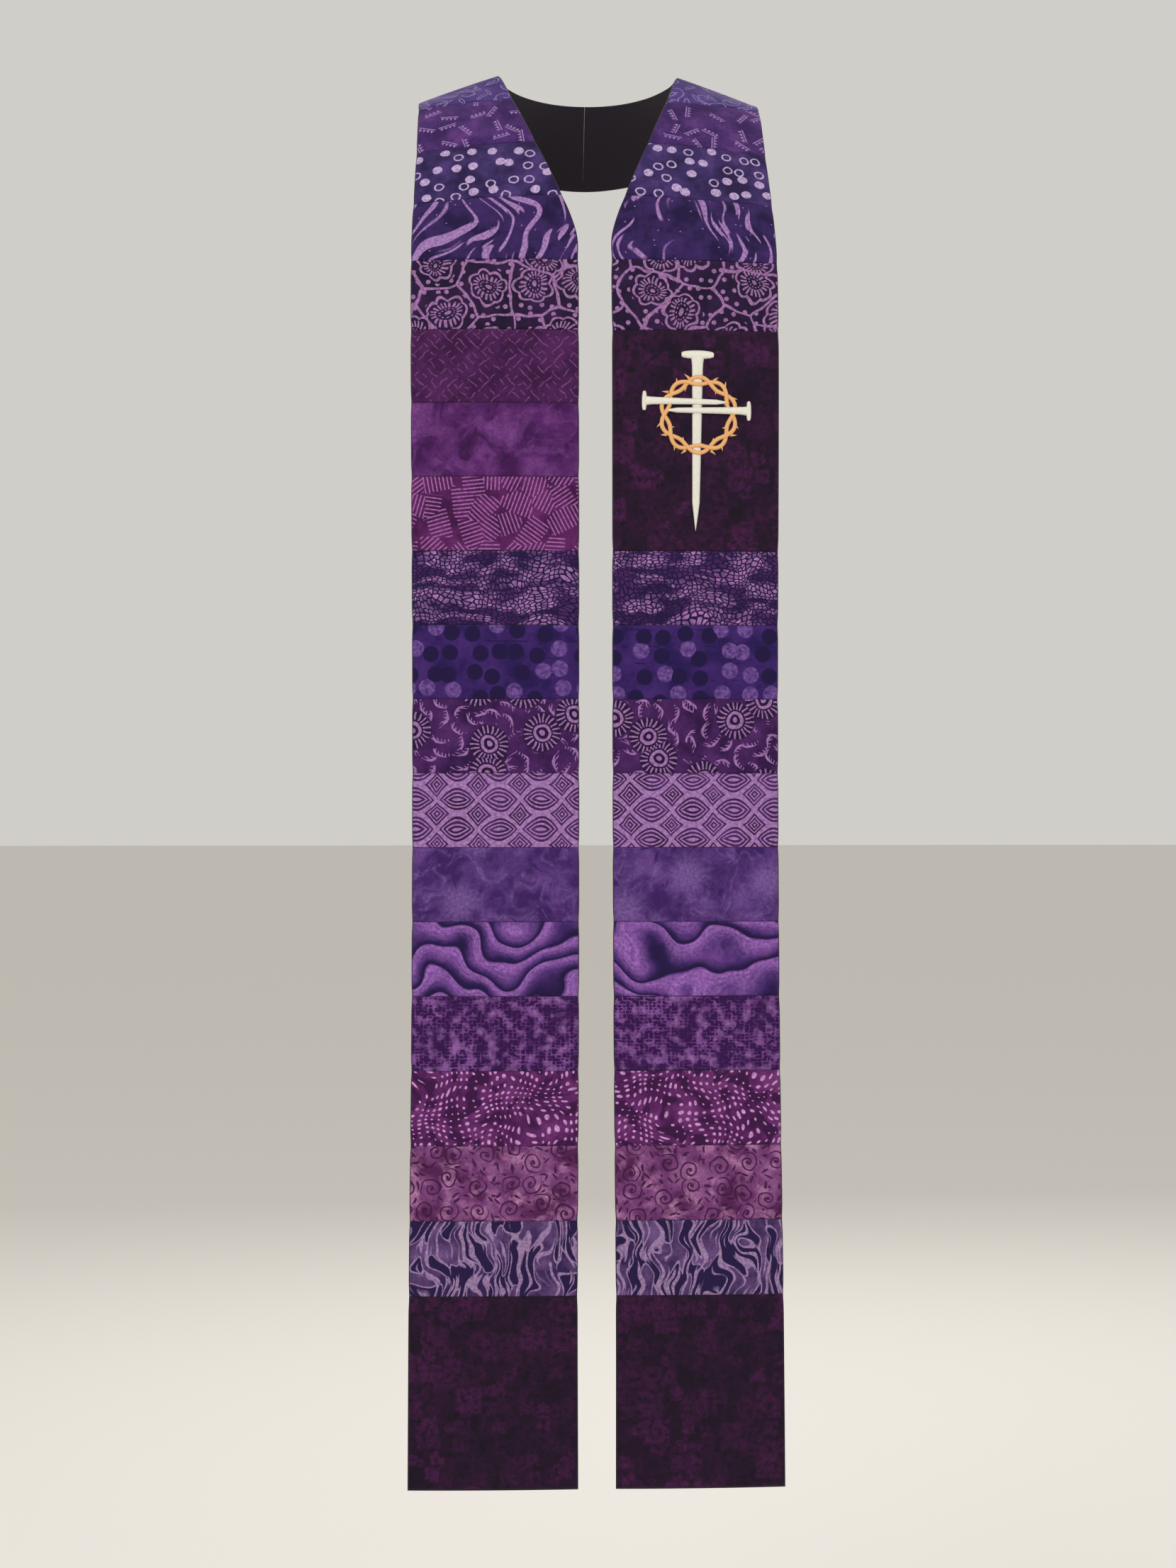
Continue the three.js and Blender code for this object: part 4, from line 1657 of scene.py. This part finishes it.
def embroider_nail(nail, sizes, material):
    """A nail: a column of stitches that thins to a point, and a broad head across its end."""
    head, tip = np.array(nail.head), np.array(nail.tip)
    way = (tip - head) / np.linalg.norm(tip - head)
    side = np.array([way[1], -way[0]])
    shank = Spine([head + way * nail.head_depth * 0.7, tip])
    length = shank.length

    def half_width(s):
        neck = nail.shank / 2 * (1 + 0.25 * np.exp(-s / 3.0))
        body = neck + (nail.point / 2 - nail.shank / 2) * s / length
        tapering = np.clip((length - s) / (length * 0.16), 0.04, 1) ** 0.8
        return body * tapering

    def lift(s):
        return nail.lift * np.minimum(1, np.minimum(s, length - s) / 8.0 + 0.3)

    def flat_lift(s):
        return nail.lift * 0.3 + 0.1 + 0 * s

    column = satin_column(nail.name, shank, half_width, lift, sizes, material)
    middle = head + way * nail.head_depth * 0.45
    reach = nail.head_width / 2
    cap = Spine([middle - side * reach, middle + side * reach])

    def head_half(s):
        from_middle = np.abs(s / cap.length * 2 - 1)
        return nail.head_depth / 2 * (0.42 + 0.58 * np.sqrt(np.clip(1 - from_middle**2.2, 0, 1)))

    top = satin_column(nail.name + "_head", cap, head_half, flat_lift, sizes, material)
    return join([column, top], nail.name)


def crown_strand(name, phase, sizes, material):
    """One of the two strands that wind round each other in the crown."""
    turn = np.linspace(0, 2 * pi, 241)
    radius = CROWN_RADIUS + CROWN_SWAY * np.sin(CROWN_WAVES * turn + phase)
    x = CROWN_MIDDLE[0] + radius * np.cos(turn)
    y = CROWN_MIDDLE[1] + radius * np.sin(turn)
    spine = Spine(np.column_stack([x, y]))

    def half_width(s):
        return STRAND_WIDTH / 2 + 0 * s

    def lift(s):
        at = np.interp(s, spine.distances, turn)
        # It rises over the upright nail at the top and the foot, and goes over and under the other strand.
        over_nail = np.exp(-(((np.cos(at) * CROWN_RADIUS) / 6.0) ** 2))
        return 0.35 + 0.35 * np.cos(CROWN_WAVES * at + phase) + 0.8 * over_nail

    return satin_column(name, spine, half_width, lift, sizes, material)


def crown_thorn(name, thorn, sizes, material):
    """A short thorn that stands out of a strand and leans along it."""
    turn = radians(thorn.turn)
    out = 1 if thorn.length > 0 else -1
    lean = turn + radians(thorn.lean) * out
    start_radius = CROWN_RADIUS + out * (CROWN_SWAY * 0.6 + 0.8)
    start = np.array(CROWN_MIDDLE) + start_radius * np.array([np.cos(turn), np.sin(turn)])
    way = out * np.array([np.cos(lean), np.sin(lean)])
    spine = Spine([start, start + way * abs(thorn.length)])

    def half_width(s):
        return 1.35 * np.clip(1 - s / spine.length, 0.06, 1) ** 0.8

    def lift(s):
        return 0.25 + 0 * s

    return satin_column(name, spine, half_width, lift, sizes, material)


# The operators.


class SewLinings(bpy.types.Operator):
    """Lays the dark lining of both bands, which shows as a fine rolled edge and inside the neck"""

    bl_idname = "stole.sew_linings"
    bl_label = "Sew the linings"

    def execute(self, context):
        sizes = context.scene.stole_sizes
        material = make_lining_material(context.scene.stole_colours)
        for side in ("left", "right"):
            last = CENTRE_BACK_PATH + CENTRE_BACK_LAP
            along_rows = stations(last, LINING_CELL_ALONG)
            over_columns = stations(LINING_WIDTH, LINING_CELL_ACROSS)
            bm, i, j = grid_mesh(len(over_columns), len(along_rows))
            paths = along_rows[j]
            share = over_columns[i] / LINING_WIDTH
            to_side = np.minimum(share, 1 - share) * widths(paths)
            down = rolled(to_side, LINING_ROLL, LINING_ROLL_DEPTH) + rolled(
                paths,
                LINING_ROLL,
                LINING_ROLL_DEPTH,
            )
            heights = LINING_FACE - down
            points = cloth_points(side, paths, share, heights)
            cut = cut_places(side, paths, share, 0, 0)
            lining = finish_mesh(
                bm, f"{side}_lining_cloth", points, cut, material, sizes.wall, side == "right"
            )
            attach(lining, "root")
            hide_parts(f"{side}_lining")
        return {"FINISHED"}


def sew_pieces(context, names):
    """Sews the named patches on both bands."""
    sizes = context.scene.stole_sizes
    for side in ("left", "right"):
        for order, (piece, start, end) in enumerate(pieces_of(side)):
            if piece.name in names:
                patch = sew_patch(sizes, side, piece, start, end, order)


class SewFalls(bpy.types.Operator):
    """Sews the hem blocks and the patches below the chest on both bands"""

    bl_idname = "stole.sew_falls"
    bl_label = "Sew the falls"

    def execute(self, context):
        sew_pieces(context, [piece.name for piece in BELOW_THE_CHEST])
        return {"FINISHED"}


class SewChest(bpy.types.Operator):
    """Sews the deep block for the emblem on the left and three patches on the right"""

    bl_idname = "stole.sew_chest"
    bl_label = "Sew the chest"

    def execute(self, context):
        sew_pieces(context, [piece.name for side in ON_THE_CHEST.values() for piece in side])
        return {"FINISHED"}


class SewNeck(bpy.types.Operator):
    """Sews the patches along the neckline and the pieces that run over the shoulders to the centre back"""

    bl_idname = "stole.sew_neck"
    bl_label = "Sew the neck"

    def execute(self, context):
        sew_pieces(context, [piece.name for piece in AT_THE_NECK])
        return {"FINISHED"}


class EmbroiderEmblem(bpy.types.Operator):
    """Works three nails and a crown of thorns in satin stitch on the deep block"""

    bl_idname = "stole.embroider_emblem"
    bl_label = "Embroider the emblem"

    def execute(self, context):
        sizes, colours = context.scene.stole_sizes, context.scene.stole_colours
        silver = make_thread("silver rayon thread", colours.silver)
        gold = make_thread("gold rayon thread", colours.gold)
        nails = [embroider_nail(nail, sizes, silver) for nail in NAILS]
        strands = [
            crown_strand("crown_strand_one", 0, sizes, gold),
            crown_strand("crown_strand_two", pi, sizes, gold),
        ]
        thorns = [crown_thorn(f"thorn_{n}", thorn, sizes, gold) for n, thorn in enumerate(THORNS)]
        thorns = join(thorns, "crown_thorns")
        for nail in nails:
            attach(nail, "root")
        for piece in strands + [thorns]:
            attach(piece, "root")
        found = [(start, end) for piece, start, end in pieces_of("left") if piece.name == "emblem_block"]
        return {"FINISHED"}


class SetStage(bpy.types.Operator):
    """Lays a pale floor, and sets soft studio lights and the camera in front"""

    bl_idname = "stole.set_stage"
    bl_label = "Set the stage"

    def execute(self, context):
        colours = context.scene.stole_colours
        bm = bmesh.new()
        bmesh.ops.create_grid(bm, x_segments=1, y_segments=1, size=40.0)
        bmesh.ops.translate(bm, verts=bm.verts, vec=(0, 0, -1.45))
        mesh = bpy.data.meshes.new("floor")
        bm.to_mesh(mesh)
        bm.free()
        floor = bpy.data.objects.new("floor", mesh)
        context.scene.collection.objects.link(floor)
        material, tree = start_material("painted studio floor")
        paint = add(
            tree, "ShaderNodeBsdfPrincipled", {}, {"Base Color": tuple(colours.floor), "Roughness": 0.9}
        )
        add(tree, "ShaderNodeOutputMaterial", {}, {"Surface": paint})
        floor.data.materials.append(material)

        # A large soft key from the upper left of the camera, a weaker fill on its right, and one behind.
        lamps = [
            ("key", (-1.9, -2.6, 1.3), (66, 0, -36), 2.4, 62),
            ("fill", (2.3, -2.4, 0.3), (82, 0, 44), 2.4, 30),
            ("back", (0.4, 2.6, 1.2), (-64, 0, 4), 2.2, 40),
        ]
        for name, place, turn, size, power in lamps:
            light = bpy.data.lights.new(name, "AREA")
            light.shape = "SQUARE"
            light.size = size
            light.energy = power
            lamp = bpy.data.objects.new(name, light)
            lamp.location = place
            lamp.rotation_euler = [radians(a) for a in turn]
            context.scene.collection.objects.link(lamp)

        world = bpy.data.worlds.new("studio")
        world.use_nodes = True
        world.node_tree.nodes.clear()
        sky = add(
            world.node_tree, "ShaderNodeBackground", {}, {"Color": linear("#e9e6e1"), "Strength": 0.78}
        )
        add(world.node_tree, "ShaderNodeOutputWorld", {}, {"Surface": sky})
        context.scene.world = world

        lens = bpy.data.cameras.new("camera")
        lens.sensor_fit = "HORIZONTAL"
        lens.sensor_width = 36
        lens.lens = 87.3
        lens.clip_end = 200
        camera = bpy.data.objects.new("camera", lens)
        camera.location = (-0.10197, -2.41865, -0.5381)
        camera.rotation_euler = (radians(90), 0, radians(-2.5))
        context.scene.collection.objects.link(camera)
        context.scene.camera = camera
        context.scene.view_settings.view_transform = "Standard"
        return {"FINISHED"}


STEPS = (SewLinings, SewFalls, SewChest, SewNeck, EmbroiderEmblem, SetStage)


class StolePanel(bpy.types.Panel):
    """Lists the steps of sewing the stole"""

    bl_idname = "VIEW3D_PT_stole"
    bl_label = "Patchwork stole"
    bl_space_type = "VIEW_3D"
    bl_region_type = "UI"
    bl_category = "Stole"

    def draw(self, context):
        for settings in (context.scene.stole_sizes, context.scene.stole_colours):
            for name in settings.__annotations__:
                self.layout.prop(settings, name)
        for step in STEPS:
            self.layout.operator(step.bl_idname)


CLASSES = (StoleSizes, StoleColours, *STEPS, StolePanel)


def register():
    for cls in CLASSES:
        bpy.utils.register_class(cls)
    bpy.types.Scene.stole_sizes = bpy.props.PointerProperty(type=StoleSizes)
    bpy.types.Scene.stole_colours = bpy.props.PointerProperty(type=StoleColours)


def unregister():
    del bpy.types.Scene.stole_sizes
    del bpy.types.Scene.stole_colours
    for cls in reversed(CLASSES):
        bpy.utils.unregister_class(cls)


def main():
    register()
    make_marks()
    bpy.ops.stole.sew_linings()
    bpy.ops.stole.sew_falls()
    bpy.ops.stole.sew_chest()
    bpy.ops.stole.sew_neck()
    bpy.ops.stole.embroider_emblem()
    bpy.ops.stole.set_stage()


if __name__ == "__main__":
    main()
